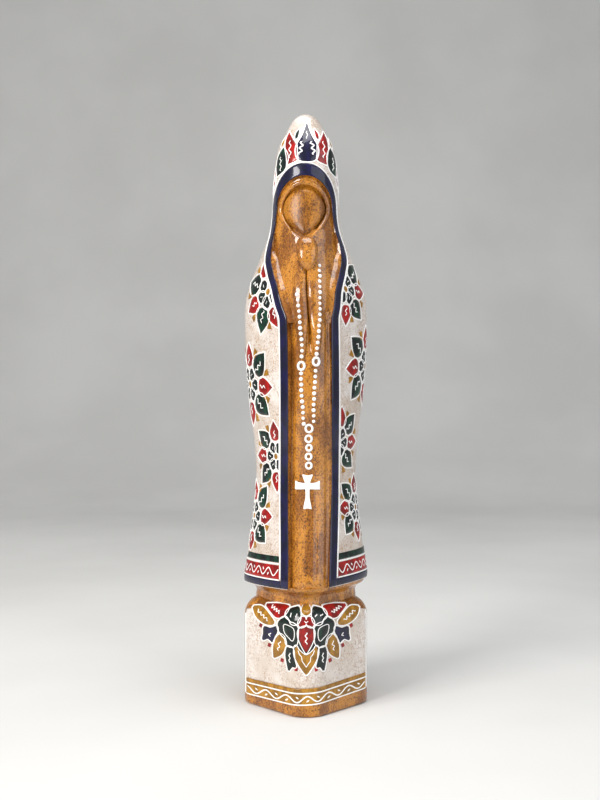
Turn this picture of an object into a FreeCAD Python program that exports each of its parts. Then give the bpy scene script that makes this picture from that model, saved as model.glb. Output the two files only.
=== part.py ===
import FreeCAD, Part
import math
import os
import Sketcher
from FreeCAD import Rotation, Vector

# Madonna statue: one carved billet of light wood with raised paint.
# Frame: +Z up, origin on the floor under the middle of the plinth, the figure looks along -Y.
doc = FreeCAD.newDocument("madonna_statue")

# ---------------------------------------------------------------- driving sizes (mm)
sheet = doc.addObject("Spreadsheet::Sheet", "sizes")
SIZES = [
    ("total_height", 300.0),       # floor to the tip of the hood
    ("body_width", 62.4),          # across the hem
    ("front_depth", 37.0),         # side line to the prow of the section
    ("back_depth", 27.0),          # side line to the back
    ("side_line", 4.0),            # how far behind the middle the section is widest
    ("plinth_height", 54.0),
    ("neck_height", 7.0),          # plinth top to the underside of the mantle
    ("prow_radius", 13.0),
    ("side_radius", 12.0),
    ("back_radius", 12.0),
    ("shoulder_radius", 10.0),
    ("foot_radius", 1.6),
    ("border_width", 3.7),         # navy border, seen from the front
    ("gown_inset", 3.2),           # gown front behind the mantle surface
    ("lining_inset", 6.4),         # head lining behind the hood surface
    ("side_inset", 1.4),
    ("recess_plane", 0.0),         # back of the carved opening
    ("border_plane", 1.5),         # how far back the painted border may run
    ("paint", 0.35),               # thickness of the painted layers
    ("face_proud", 5.8),           # face pad in front of the head lining
    ("face_round", 2.6),
    ("hand_proud", 6.9),           # hands in front of the chest
    ("hand_round", 3.2),
    ("forearm_depth", 3.6),
    ("forearm_sink", 2.85),        # middle of a forearm behind the gown's front
    ("roll_radius", 1.5),          # rolled edge of the veil round the face
    ("bead_radius", 1.05),
    ("ring_radius", 1.75),
    ("ring_cord", 0.62),
    ("cross_span", 12.3),
    ("cross_arm", 1.35),           # half width of an arm at the crossing
    ("cross_flare", 2.3),          # half width of an arm at its end
    ("panel_low", 11.4),           # lower edge of the white panel on the plinth
    ("band_low", 6.6),             # lower edge of the ochre foot band
    ("line_gap", 0.55),            # white line left between two bands
]
# Sizes that follow from the ones above, so that the pieces stay fitted to each other.
FITTED = [
    ("hem_height", "plinth_height + neck_height"),
    ("cloak_height", "total_height - hem_height"),
    ("opening_half", "0.1715 * body_width"),        # half width of the front opening
    ("neck_half_width", "0.407 * body_width"),
    ("plinth_side", "0.5385 * body_width"),         # sharp side corner of the plinth plan
    ("plinth_prow", "front_depth + 2"),             # sharp front corner of the plinth plan
    ("plinth_back", "back_depth + side_line"),
    ("plinth_back_half", "0.2885 * body_width"),
    ("panel_high", "plinth_height - 6.5"),
    ("face_half", "0.157 * body_width"),
    ("face_chin", "hem_height + 0.7197 * cloak_height"),
    ("face_top", "hem_height + 0.8201 * cloak_height"),
    ("face_low", "hem_height + 0.745 * cloak_height"),
    ("face_wide", "hem_height + 0.784 * cloak_height"),
    ("face_brow", "hem_height + 0.8115 * cloak_height"),
    ("face_front", "0.6 * front_depth - side_line - lining_inset + face_proud"),
    ("hand_half", "0.069 * body_width"),
    ("hand_low", "hem_height + 0.6477 * cloak_height"),
    ("hand_high", "hem_height + 0.713 * cloak_height"),
    ("hand_front", "0.82 * front_depth - side_line - gown_inset + hand_proud"),
    ("forearm_half", "0.044 * body_width"),
    ("forearm_offset", "0.0657 * body_width"),
    ("forearm_half_height", "0.0795 * cloak_height"),
    ("forearm_middle", "hem_height + 0.5665 * cloak_height"),
    ("forearm_back", "0.98 * front_depth - side_line - gown_inset - forearm_sink"),
    ("cross_foot", "hem_height + 0.1569 * cloak_height"),
    ("cross_height", "0.0711 * cloak_height"),
]
for row, (alias, number) in enumerate(SIZES + FITTED, start=1):
    sheet.set("A%d" % row, alias)
    sheet.set("B%d" % row, str(number) if isinstance(number, float) else "=" + number)
    sheet.setAlias("B%d" % row, alias)
doc.recompute()


def size(alias):
    return float(getattr(sheet, alias))


HEIGHT, HEM = size("total_height"), size("hem_height")
CLOAK = size("cloak_height")
HALF = size("body_width") / 2.0
nodes = []


def keep(feature, label):
    """The finished feature carries the name of its piece."""
    feature.Label = label
    nodes.append(feature)
    return feature


def shaped(label, shape):
    """A carved or painted piece whose shape is worked out in code."""
    feature = doc.addObject("Part::Feature", label)
    feature.Shape = shape
    feature.Placement = FreeCAD.Placement()
    return feature


# ---------------------------------------------------------------- section of the figure
# Each station: share of the cloak height, share of the half width, share of the front depth,
# share of the back depth, and how round the front of the section is (1 = ellipse, 0 = wedge).
STATIONS = [
    (0.000, 1.000, 1.00, 1.00, 0.50),   # hem
    (0.080, 0.936, 0.95, 0.96, 0.50),
    (0.238, 0.820, 0.87, 0.88, 0.50),   # waist
    (0.393, 0.933, 0.95, 0.95, 0.50),
    (0.540, 1.003, 1.00, 1.00, 0.50),   # elbows
    (0.611, 0.971, 0.95, 0.97, 0.55),
    (0.674, 0.795, 0.82, 0.88, 0.70),   # shoulders
    (0.741, 0.606, 0.69, 0.75, 0.85),
    (0.816, 0.538, 0.60, 0.66, 0.95),   # face
    (0.891, 0.494, 0.52, 0.60, 1.00),
    (0.954, 0.340, 0.35, 0.42, 1.00),
    (1.000, 0.055, 0.06, 0.07, 1.00),   # tip of the hood
]
BACK_FULLNESS = 1.15
RING_POINTS = 28


def section_point(turn, z, half, front, back, roundness):
    """Front quadrant: sine and cosine mixed with their squares (a rounded wedge); back: a full oval."""
    across, along = math.sin(turn), math.cos(turn)
    mix = roundness if along > 0 else BACK_FULLNESS
    x = half * ((1 - mix) * across * abs(across) + mix * across)
    if along > 0:
        y = size("side_line") - front * ((1 - mix) * along * along + mix * along)
    else:
        y = size("side_line") - back * along
    return Vector(x, y, z)


def ring(z, half, front, back, roundness):
    turns = [2 * math.pi * k / RING_POINTS for k in range(RING_POINTS + 1)]
    curve = Part.BSplineCurve()
    curve.interpolate(Points=[section_point(t, z, half, front, back, roundness) for t in turns[:-1]],
                      PeriodicFlag=True, Parameters=turns)
    return Part.Wire([curve.toShape()])


def envelope(side_in, front_in):
    """Solid of the whole cloaked figure above the hem, drawn in by the given amounts."""
    rings = []
    for share, wide, deep, rear, roundness in STATIONS:
        half = max(HALF * wide - side_in, 1.0)
        front = max(size("front_depth") * deep - front_in, 1.2)
        back = max(size("back_depth") * rear - side_in, 1.1)
        rings.append(ring(HEM + share * CLOAK, half, front, back, roundness))
    return Part.makeLoft(rings, True, False)


paint = size("paint")
outer = envelope(0.0, 0.0)
wood = envelope(paint, paint)
gown_body = envelope(size("side_inset"), size("gown_inset"))
lining_body = envelope(size("side_inset"), size("lining_inset"))
skin = outer.cut(wood)

# ---------------------------------------------------------------- front opening
# Right half of the opening and how far the navy border runs past it: share of the cloak height,
# half width over the gown's half width, border width over its width along the gown.
OPENING = [(0.540, 1.00, 1.00), (0.611, 1.30, 0.90), (0.680, 1.66, 0.75), (0.741, 1.44, 0.50),
           (0.795, 1.40, 0.50), (0.832, 1.10, 1.05), (0.850, 0.62, 1.25)]
OPENING_TOP = 0.858
BORDER_TOP = 6.0


def opening_prism(extra, grow, y_back):
    """Front-view outline of the opening, widened by the border, run through to y_back."""
    half = size("opening_half")
    right = [Vector(half * wide + extra * part + grow, -90, HEM + share * CLOAK)
             for share, wide, part in OPENING]
    lift = BORDER_TOP * (extra / size("border_width")) + grow
    top = Vector(0, -90, HEM + OPENING_TOP * CLOAK + lift)
    raised = [Vector(p.x, p.y, p.z + lift * max(0.0, (i - 4) / 2.6)) for i, p in enumerate(right)]
    left = [Vector(-p.x, p.y, p.z) for p in reversed(raised)]
    arch = Part.BSplineCurve()
    arch.interpolate(raised + [top] + left)
    foot = half + extra + grow
    low_right, low_left = Vector(foot, -90, HEM - 5), Vector(-foot, -90, HEM - 5)
    wire = Part.Wire([Part.makeLine(low_right, raised[0]), arch.toShape(),
                      Part.makeLine(left[-1], low_left), Part.makeLine(low_left, low_right)])
    return Part.Face(wire).extrude(Vector(0, 90 + y_back, 0))


recess = opening_prism(0.0, 0.0, size("recess_plane"))
border_region = opening_prism(size("border_width"), 0.0, size("border_plane"))
border_clear = opening_prism(size("border_width"), size("line_gap"), size("border_plane"))
BIG = 200.0


def slab(low, high):
    return Part.makeBox(BIG, BIG, high - low, Vector(-BIG / 2, -BIG / 2, low))


def front_y(shape, x, z):
    """Where the front of a solid lies at a given place across and up."""
    probe = Part.makeLine(Vector(x, -BIG / 2, z), Vector(x, size("side_line"), z)).common(shape)
    return min([v.Y for v in probe.Vertexes] or [BIG])


# ---------------------------------------------------------------- plinth (Body)
def plane_of(body, role):
    return [f for f in body.Origin.OriginFeatures if f.Role == role][0]


def polygon_sketch(body, name, role, corners, offset=None):
    """Closed polygon; every corner is held to the sheet by (factor, alias) pairs."""
    sketch = body.newObject("Sketcher::SketchObject", name)
    sketch.AttachmentSupport = [(plane_of(body, role), "")]
    sketch.MapMode = "FlatFace"
    if offset:
        sketch.setExpression("AttachmentOffset.Base.z", offset)
    spots = [Vector(fx * size(ax), fy * size(ay) if isinstance(ay, str) else 0.0, 0)
             for (fx, ax), (fy, ay) in corners]
    count = len(spots)
    for k in range(count):
        sketch.addGeometry(Part.LineSegment(spots[k], spots[(k + 1) % count]), False)
    for k in range(count):
        sketch.addConstraint(Sketcher.Constraint("Coincident", k, 2, (k + 1) % count, 1))
    for k, ((fx, ax), (fy, ay)) in enumerate(corners):
        for kind, factor, alias, value in (("DistanceX", fx, ax, spots[k].x),
                                           ("DistanceY", fy, ay, spots[k].y)):
            index = sketch.addConstraint(Sketcher.Constraint(kind, -1, 1, k, 1, value))
            sketch.setExpression("Constraints[%d]" % index, "%s * sizes.%s" % (factor, alias))
    return sketch


def fillet_where(body, base, name, alias, wanted):
    """Round the edges of the body whose middle and direction satisfy the test."""
    edges = ["Edge%d" % (k + 1) for k, e in enumerate(base.Shape.Edges) if wanted(e)]
    rounding = body.newObject("PartDesign::Fillet", name)
    rounding.Base = (base, edges)
    rounding.setExpression("Radius", "sizes.%s" % alias)
    doc.recompute()
    return rounding


def upright(edge):
    a, b = edge.Vertexes[0].Point, edge.Vertexes[-1].Point
    return abs(a.z - b.z) > 5 and abs(a.x - b.x) < 0.01 and abs(a.y - b.y) < 0.01


plinth = doc.addObject("PartDesign::Body", "plinth_block")
plan = polygon_sketch(plinth, "plinth_plan", "XY_Plane", [
    ((0.0, "plinth_side"), (-1.0, "plinth_prow")),
    ((1.0, "plinth_side"), (0.0, "plinth_prow")),
    ((1.0, "plinth_back_half"), (1.0, "plinth_back")),
    ((-1.0, "plinth_back_half"), (1.0, "plinth_back")),
    ((-1.0, "plinth_side"), (0.0, "plinth_prow")),
])
block = plinth.newObject("PartDesign::Pad", "plinth_pad")
block.Profile = plan
block.setExpression("Length", "sizes.plinth_height")
doc.recompute()
step = fillet_where(plinth, block, "plinth_prow_round", "prow_radius",
                    lambda e: upright(e) and e.Vertexes[0].Y < -20)
step = fillet_where(plinth, step, "plinth_side_round", "side_radius",
                    lambda e: upright(e) and abs(e.Vertexes[0].Y) < 1)
step = fillet_where(plinth, step, "plinth_back_round", "back_radius",
                    lambda e: upright(e) and e.Vertexes[0].Y > size("plinth_back") - 0.5
                    and abs(e.Vertexes[0].X) > size("plinth_back_half") - 0.5)
step = fillet_where(plinth, step, "plinth_shoulder", "shoulder_radius",
                    lambda e: e.BoundBox.ZMin > size("plinth_height") - 0.01)
step = fillet_where(plinth, step, "plinth_foot", "foot_radius",
                    lambda e: e.BoundBox.ZMax < 0.01)
keep(plinth, "plinth_block")

# ---------------------------------------------------------------- neck under the hem
neck_half = size("neck_half_width")
slim = neck_half / HALF
neck_rings = [
    ring(size("plinth_height") - 5, neck_half, size("front_depth") * slim, size("back_depth") * slim, 0.5),
    ring(size("plinth_height") + 1, neck_half, size("front_depth") * slim, size("back_depth") * slim, 0.5),
    ring(HEM, HALF * 0.955, size("front_depth") * 0.955, size("back_depth") * 0.955, 0.5),
]
neck = shaped("neck", Part.makeLoft(neck_rings, True, False).cut(plinth.Shape))
keep(neck, "neck")

# ---------------------------------------------------------------- mantle, gown, chest, lining
CHEST_LOW, CHEST_HIGH = 0.540, 0.715
chest_low, chest_high = HEM + CHEST_LOW * CLOAK, HEM + CHEST_HIGH * CLOAK
keep(shaped("mantle", wood.cut(recess)), "mantle")
inside = gown_body.common(recess)
core = shaped("filling_of_opening", inside)
gown = keep(shaped("gown_column", inside.common(slab(HEM, chest_low))), "gown_column")
chest = keep(shaped("chest", inside.common(slab(chest_low, chest_high))), "chest")
lining = keep(shaped("head_lining", lining_body.common(recess).common(slab(chest_high, HEIGHT))),
              "head_lining")

# ---------------------------------------------------------------- face, hands, forearms
face = doc.addObject("PartDesign::Body", "face_blank")
outline = polygon_sketch(face, "face_outline", "XZ_Plane", [
    ((0.0, "face_half"), (1.0, "face_chin")),
    ((0.62, "face_half"), (1.0, "face_low")),
    ((1.0, "face_half"), (1.0, "face_wide")),
    ((0.72, "face_half"), (1.0, "face_brow")),
    ((0.0, "face_half"), (1.0, "face_top")),
    ((-0.72, "face_half"), (1.0, "face_brow")),
    ((-1.0, "face_half"), (1.0, "face_wide")),
    ((-0.62, "face_half"), (1.0, "face_low")),
])
pad = face.newObject("PartDesign::Pad", "face_thickness")
pad.Profile = outline
pad.setExpression("Length", "sizes.face_front")
doc.recompute()
fillet_where(face, pad, "face_rounding", "face_round",
             lambda e: e.BoundBox.YMax < 0.01 - size("face_front"))
face_cut = doc.addObject("Part::Cut", "face_pad_on_lining")
face_cut.Base, face_cut.Tool = face, lining
keep(face_cut, "face_pad")

hands = doc.addObject("PartDesign::Body", "hands_block")
palm = polygon_sketch(hands, "hands_outline", "XZ_Plane", [
    ((-1.0, "hand_half"), (1.0, "hand_low")),
    ((1.0, "hand_half"), (1.0, "hand_low")),
    ((1.0, "hand_half"), (1.0, "hand_high")),
    ((-1.0, "hand_half"), (1.0, "hand_high")),
])
hand_pad = hands.newObject("PartDesign::Pad", "hands_pad")
hand_pad.Profile = palm
hand_pad.setExpression("Length", "sizes.hand_front")
doc.recompute()
fillet_where(hands, hand_pad, "hands_rounding", "hand_round",
             lambda e: e.BoundBox.YMax < 0.01 - size("hand_front"))


def laid_on(base, tools, name):
    """The base with the pieces under it cut away, one after the other."""
    for count, tool in enumerate(tools):
        cut = doc.addObject("Part::Cut", "%s_%d" % (name, count))
        cut.Base, cut.Tool = base, tool
        base = cut
    return base


hands_on = laid_on(hands, [core], "hands_on_chest")
keep(hands_on, "praying_hands")
doc.recompute()

for side, sign in (("left", -1), ("right", 1)):
    arm = doc.addObject("Part::Ellipsoid", "forearm_%s_solid" % side)
    arm.Angle1, arm.Angle2, arm.Angle3 = -90, 90, 360
    arm.setExpression("Radius1", "sizes.forearm_half_height")
    arm.setExpression("Radius2", "sizes.forearm_half")
    arm.setExpression("Radius3", "sizes.forearm_depth")
    arm.setExpression("Placement.Base.x", "%d * sizes.forearm_offset" % sign)
    arm.setExpression("Placement.Base.y", "-sizes.forearm_back")
    arm.setExpression("Placement.Base.z", "sizes.forearm_middle")
    keep(laid_on(arm, [core], "forearm_%s_cut" % side), "forearm_%s" % side)
doc.recompute()

# ---------------------------------------------------------------- rolled veil edge
ROLL = [(-1.22, 0.755), (-1.27, 0.790), (-1.10, 0.822), (-0.62, 0.842), (0.0, 0.848),
        (0.62, 0.842), (1.10, 0.822), (1.27, 0.790), (1.22, 0.755)]
roll_radius = size("roll_radius")
spots = []
for across, share in ROLL:
    x, z = across * size("face_half"), HEM + share * CLOAK
    spots.append(Vector(x, front_y(lining.Shape, x, z) - 0.3 * roll_radius, z))
path = Part.BSplineCurve()
path.interpolate(spots)
path_wire = Part.Wire([path.toShape()])
start, way = path.value(path.FirstParameter), path.tangent(path.FirstParameter)[0]
loop = Part.Wire([Part.Circle(start, way, roll_radius).toShape()])
roll = path_wire.makePipeShell([loop], True, True).cut(lining.Shape).cut(face_cut.Shape)
keep(shaped("veil_roll", roll.cut(doc.getObject("mantle").Shape)), "veil_roll")

# ---------------------------------------------------------------- borders and hem bands
front_skin = skin.cut(recess)
keep(shaped("navy_border", front_skin.common(border_region)), "navy_border")
gap = size("line_gap")
HEM_BANDS = [("navy_hem", 0.4, 3.4), ("red_hem_band", 4.0, 10.6), ("green_hem_band", 11.4, 14.4)]
side_skin = front_skin.cut(border_clear)
for label, low, high in HEM_BANDS:
    keep(shaped(label, side_skin.common(slab(HEM + low, HEM + high))), label)

# ---------------------------------------------------------------- painted flowers
PETAL_LONG, PETAL_SHORT, LEAF_LONG = 0.98, 0.66, 0.80
PETAL_FROM, LEAF_FROM, EYE = 0.40, 0.34, 0.24


def lens(start, end, half):
    """Pointed petal between two radii, bowed out by the half width."""
    middle = (start + end) / 2.0
    tips = Vector(start, 0, 0), Vector(end, 0, 0)
    bows = Vector(middle, half, 0), Vector(middle, -half, 0)
    return Part.Wire([Part.Arc(tips[0], bows[0], tips[1]).toShape(),
                      Part.Arc(tips[1], bows[1], tips[0]).toShape()])


def motif(radius, kind):
    """Faces of one flower's petals of one colour, drawn flat in x and y."""
    faces = []
    for k in range(8):
        if kind == "red" and k % 2 == 0:
            reach = PETAL_LONG if k % 4 == 2 else PETAL_SHORT
            wire = lens(PETAL_FROM * radius, reach * radius, 0.16 * radius)
        elif kind == "green" and k % 2 == 1:
            wire = lens(LEAF_FROM * radius, LEAF_LONG * radius, 0.17 * radius)
        else:
            continue
        wire.rotate(Vector(), Vector(0, 0, 1), 45.0 * k)
        faces.append(Part.Face(wire))
    if kind == "ochre":
        faces.append(Part.Face(Part.Wire([Part.Circle(Vector(), Vector(0, 0, 1),
                                                      EYE * radius).toShape()])))
    return faces


# Flowers down the left, then mirrored and lifted on the right: bearing from the front (degrees),
# height as a share of the cloak, petal radius as a share of the body width, lean.
FLOWERS = [(-52, 0.612, 0.27, 24), (-80, 0.42, 0.30, 0), (-46, 0.262, 0.25, 0), (-78, 0.150, 0.23, 0),
           (-118, 0.56, 0.28, 0), (-122, 0.29, 0.26, 0), (-150, 0.42, 0.28, 0), (-152, 0.160, 0.25, 0),
           (-160, 0.68, 0.24, 10)]
MIRROR_LIFT = 0.022


def flower_frames():
    for side in (1, -1):
        for bearing, share, reach, lean in FLOWERS:
            yield side * bearing, share + (MIRROR_LIFT if side < 0 else 0.0), reach, side * lean


def station_at(share):
    for low, high in zip(STATIONS, STATIONS[1:]):
        if share <= high[0]:
            part = (share - low[0]) / (high[0] - low[0])
            return [a + part * (b - a) for a, b in zip(low, high)]
    return list(STATIONS[-1])


def flower_prisms(kind):
    prisms = []
    for bearing, share, reach, lean in flower_frames():
        _, wide, deep, rear, roundness = station_at(share)
        args = (HEM + share * CLOAK, HALF * wide, size("front_depth") * deep,
                size("back_depth") * rear, roundness)
        turn = math.radians(bearing)
        spot = section_point(turn, *args)
        along = section_point(turn + 0.05, *args) - section_point(turn - 0.05, *args)
        normal = along.cross(Vector(0, 0, 1)).normalize()
        frame = Rotation(along, Vector(0, 0, 1), normal, "YZX")
        for face in motif(reach * 2 * HALF, kind):
            face.rotate(Vector(), Vector(0, 0, 1), lean)
            solid = face.extrude(Vector(0, 0, 14)).translated(Vector(0, 0, -7))
            solid.Placement = FreeCAD.Placement(spot, frame).multiply(solid.Placement)
            prisms.append(solid)
    return Part.makeCompound(prisms)


hem_top = HEM + HEM_BANDS[-1][2] + gap
flower_skin = side_skin.common(slab(hem_top, HEIGHT))
for label, kind in (("flower_leaves", "green"), ("flower_red_petals", "red"),
                    ("flower_eyes", "ochre")):
    keep(shaped(label, flower_skin.common(flower_prisms(kind))), label)


# ---------------------------------------------------------------- crown of petals on the hood
def crown(pieces):
    """Pointed petals standing on the arch: offset across, foot height, tip height, half width, lean."""
    prisms = []
    for across, foot, tip, half, lean in pieces:
        wire = lens(0.0, (tip - foot) * CLOAK, half)
        wire.rotate(Vector(), Vector(0, 0, 1), 90.0 - lean)
        wire.rotate(Vector(), Vector(1, 0, 0), 90.0)
        wire.translate(Vector(across * size("opening_half"), -60, HEM + foot * CLOAK))
        prisms.append(Part.Face(wire).extrude(Vector(0, 60 + size("side_line"), 0)))
    return Part.makeCompound(prisms)


above_border = side_skin.common(slab(chest_high, HEIGHT))
CROWNS = [("crown_flame", [(0.0, 0.886, 0.962, 5.2, 0)]),
          ("crown_red_petals", [(-0.82, 0.868, 0.952, 2.0, -6), (0.82, 0.868, 0.952, 2.0, 8)]),
          ("crown_green_petals", [(-1.14, 0.835, 0.91, 1.6, -4), (1.14, 0.835, 0.91, 1.6, 4)])]
for label, pieces in CROWNS:
    keep(shaped(label, above_border.common(crown(pieces))), label)

# ---------------------------------------------------------------- plinth paint
plinth_half = size("plinth_side")
grow = FreeCAD.Matrix()
grow.scale(1 + paint / 31.0, 1 + paint / 31.0, 1.0)
plinth_skin = plinth.Shape.transformGeometry(grow).cut(plinth.Shape)
front_half = Part.makeBox(2 * plinth_half - 8, 60, 60, Vector(4 - plinth_half, -58, 0))
plinth_front = plinth_skin.common(front_half)
panel_low, panel_high = size("panel_low"), size("panel_high")


def medallion(pieces):
    """Petals hanging from the panel's top edge: offset across, drop, length, half width, lean."""
    grade = (panel_high - panel_low) / MEDALLION_FIELD
    prisms = []
    for across, drop, reach, half, lean in pieces:
        wire = lens(0.0, reach * grade, half * grade)
        wire.rotate(Vector(), Vector(0, 0, 1), -90.0 + lean)
        wire.rotate(Vector(), Vector(1, 0, 0), 90.0)
        wire.translate(Vector(across * grade, -60, panel_high - drop * grade))
        prisms.append(Part.Face(wire).extrude(Vector(0, 60, 0)))
    return Part.makeCompound(prisms)


MEDALLION_FIELD = 36.1   # height of the panel the petals below are drawn for


MEDALLION = [("medallion_red", [(0.0, 11.0, 13.0, 3.6, 0), (-15.5, 3.0, 9.0, 2.4, -75),
                                (15.5, 3.0, 9.0, 2.4, 75)]),
             ("medallion_dark", [(-4.0, 8.0, 13.5, 3.4, -42), (4.0, 8.0, 13.5, 3.4, 42),
                                 (-4.6, 22.5, 9.0, 2.0, -24), (4.6, 22.5, 9.0, 2.0, 24)]),
             ("medallion_ochre", [(0.0, 25.0, 9.5, 3.6, 0), (-10.6, 18.4, 7.5, 2.2, -38),
                                  (10.6, 18.4, 7.5, 2.2, 38)])]
painted = []
panel_area = plinth_front.common(slab(panel_low, panel_high))
for label, pieces in MEDALLION:
    colour = panel_area.common(medallion(pieces))
    for earlier in painted:
        colour = colour.cut(earlier)
    painted.append(colour)
    keep(shaped(label, colour), label)
keep(shaped("plinth_panel", panel_area.cut(Part.makeCompound(painted))), "plinth_panel")
keep(shaped("plinth_foot_band", plinth_front.common(slab(size("band_low"), panel_low - gap))),
     "plinth_foot_band")

# ---------------------------------------------------------------- rosary on the gown
bed = [core.Shape] + [f.Shape for f in nodes if "forearm" in f.Label or "hands" in f.Label]
BEAD_STEP = 0.0121
STRAND_TOP, STRAND_END = 0.54, 0.25     # half distance of the strands, of the opening's half width
ROSARY_OFF = 0.12                       # the rosary hangs a little to one side
SLOPE_STEP = 0.6
DOT_LIFT = 0.8          # share of a dot's own radius between its middle and the surface under it
beads, rings = [], []


def bed_y(x, z):
    return min(front_y(shape, x, z) for shape in bed)


def on_bed(across, share, thickness, make):
    """A raised dot of paint on the gown, facing the way the surface faces there."""
    x, z = across * size("opening_half"), HEM + share * CLOAK
    slope = (bed_y(x + SLOPE_STEP, z) - bed_y(x - SLOPE_STEP, z)) / (2 * SLOPE_STEP)
    outward = Vector(slope, -1, 0).normalize()
    return make(Vector(x, bed_y(x, z), z) + outward * (DOT_LIFT * thickness), outward)


def dome(across, share):
    radius = size("bead_radius")
    return on_bed(across, share, radius, lambda spot, outward: Part.makeSphere(radius, spot))


def washer(across, share):
    return on_bed(across, share, size("ring_cord"), lambda spot, outward: Part.makeTorus(
        size("ring_radius"), size("ring_cord"), spot, outward))


STRAND_LOW, RING_SHARE, STRAND_HIGH = 0.338, 0.459, 0.600
for sign in (-1, 1):
    count = int((STRAND_HIGH - STRAND_LOW) / BEAD_STEP)
    for k in range(count + 1):
        share = STRAND_LOW + k * BEAD_STEP
        spread = (share - STRAND_LOW) / (STRAND_HIGH - STRAND_LOW)
        across = ROSARY_OFF + sign * (STRAND_END + (STRAND_TOP - STRAND_END) * math.sqrt(spread))
        if abs(share - RING_SHARE) > 1.1 * BEAD_STEP:
            beads.append(dome(across, share))
        elif abs(share - RING_SHARE) < 0.5 * BEAD_STEP:
            rings.append(washer(across, share))
for k in range(5):
    rings.append(washer(ROSARY_OFF, 0.3235 - 0.0188 * k))
keep(shaped("rosary_beads", Part.makeCompound(beads)), "rosary_beads")
keep(shaped("rosary_rings", Part.makeCompound(rings)), "rosary_rings")

cross = doc.addObject("PartDesign::Body", "cross_body")
FOOT_FLARE = 0.86
corners = []
for fx, ax, lift in [(-FOOT_FLARE, "cross_flare", 0.0), (FOOT_FLARE, "cross_flare", 0.0),
                     (1.0, "cross_arm", 0.60), (0.5, "cross_span", 0.56), (0.5, "cross_span", 0.80),
                     (1.0, "cross_arm", 0.76), (1.0, "cross_flare", 1.0), (-1.0, "cross_flare", 1.0),
                     (-1.0, "cross_arm", 0.76), (-0.5, "cross_span", 0.80),
                     (-0.5, "cross_span", 0.56), (-1.0, "cross_arm", 0.60)]:
    corners.append(((fx, ax), (lift, "cross_height")))
cross_sketch = polygon_sketch(cross, "cross_outline", "XZ_Plane", corners)
cross_sketch.setExpression("AttachmentOffset.Base.y", "sizes.cross_foot")
cross_pad = cross.newObject("PartDesign::Pad", "cross_pad")
cross_pad.Profile = cross_sketch
cross_pad.setExpression("Length", "sizes.plinth_prow")
doc.recompute()
cross_layer = envelope(size("side_inset"), size("gown_inset") - 2 * paint)
keep(shaped("rosary_cross", cross_layer.common(cross.Shape).cut(gown_body)), "rosary_cross")
doc.recompute()

# ---------------------------------------------------------------- checks and export
for thing in doc.Objects:
    if "Invalid" in thing.State or "Error" in thing.State:
        raise RuntimeError("%s did not compute: %s" % (thing.Label, thing.State))
os.makedirs("parts", exist_ok=True)
for node in nodes:
    if node.Shape.isNull() or not node.Shape.isValid() or not node.Shape.Solids:
        raise RuntimeError("%s has no valid solid" % node.Label)
    node.Shape.exportStep("parts/%s.step" % node.Label)
    box = node.Shape.BoundBox
    print("%-20s %3d solid(s) %10.1f mm3  x %.1f..%.1f y %.1f..%.1f z %.1f..%.1f" % (
        node.Label, len(node.Shape.Solids), node.Shape.Volume,
        box.XMin, box.XMax, box.YMin, box.YMax, box.ZMin, box.ZMax))
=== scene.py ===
# %% [markdown]
# # A carved and painted madonna, built as a maker would build it
#
# The figure is one billet of light wood: a plinth, a waist under the hem, a gown in the front
# opening of a long mantle, and a hood over a blank face. The painter then lays a white ground,
# fills flowers, borders and a half lotus with colour, draws every outline in white, dots a rosary
# down the gown and drowns everything in gloss varnish. This lesson follows the same order. Every
# piece is a surface worked out with numpy, laid over the frame that the CAD model gives.

# %% Load the frame
import bmesh
import bpy
import numpy as np
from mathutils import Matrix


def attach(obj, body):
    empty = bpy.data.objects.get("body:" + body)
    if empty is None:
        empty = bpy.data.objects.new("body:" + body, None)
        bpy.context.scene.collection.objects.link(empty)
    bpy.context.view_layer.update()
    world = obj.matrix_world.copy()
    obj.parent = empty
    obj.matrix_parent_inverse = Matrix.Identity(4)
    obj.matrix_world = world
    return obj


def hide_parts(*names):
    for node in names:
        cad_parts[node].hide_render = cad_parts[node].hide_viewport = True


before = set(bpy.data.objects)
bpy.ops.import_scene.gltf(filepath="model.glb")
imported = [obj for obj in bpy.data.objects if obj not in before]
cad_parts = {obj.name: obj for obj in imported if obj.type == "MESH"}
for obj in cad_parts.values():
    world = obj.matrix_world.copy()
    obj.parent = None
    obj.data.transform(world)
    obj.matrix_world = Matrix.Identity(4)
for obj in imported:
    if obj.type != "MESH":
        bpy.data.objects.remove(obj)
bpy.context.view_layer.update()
MM = 0.001
print("frame nodes:", len(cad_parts))

# %% [markdown]
# ## The section of the figure
#
# The carver starts from a billet with a corner turned to the front, so every level section is a
# rounded wedge that gets rounder towards the head. One formula gives them all: a bearing round the
# figure (0 at the front, positive to the right) has a sine and a cosine, and mixing each with its
# own square pulls the oval towards a diamond. The half width follows the outline of the mantle:
# wide at the hem, narrow at the knees, wide at the elbows, then the shoulders and the hood.

# %% Outline and section of the mantle
SIDE_LINE = 4.0        # the widest line lies this far behind the middle
HOOD_TOP = 300.0
HEM = 61.3
HEM_TILT = 0.036       # the hem hangs lower on the left, by this much for each mm across
BACK_FULLNESS = 1.15

# Height, half width, both in mm: the outline as a carver would mark it on the blank.
OUTLINE = np.array([
    (54, 30.6), (60.5, 31.3), (63, 31.6), (72, 30.4), (84, 28.6), (97, 26.8), (115, 25.6),
    (128, 26.1), (140, 27.6), (158, 29.5), (176, 30.9), (193, 31.4), (203, 31.1), (210, 29.4),
    (219, 26.1), (228, 22.5), (236, 19.6), (243, 17.8), (252, 17.0), (268, 16.2), (278, 15.1),
    (284, 13.4), (290, 10.2), (296, 6.9), (299, 3.4), (300, 0.0)])
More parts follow.
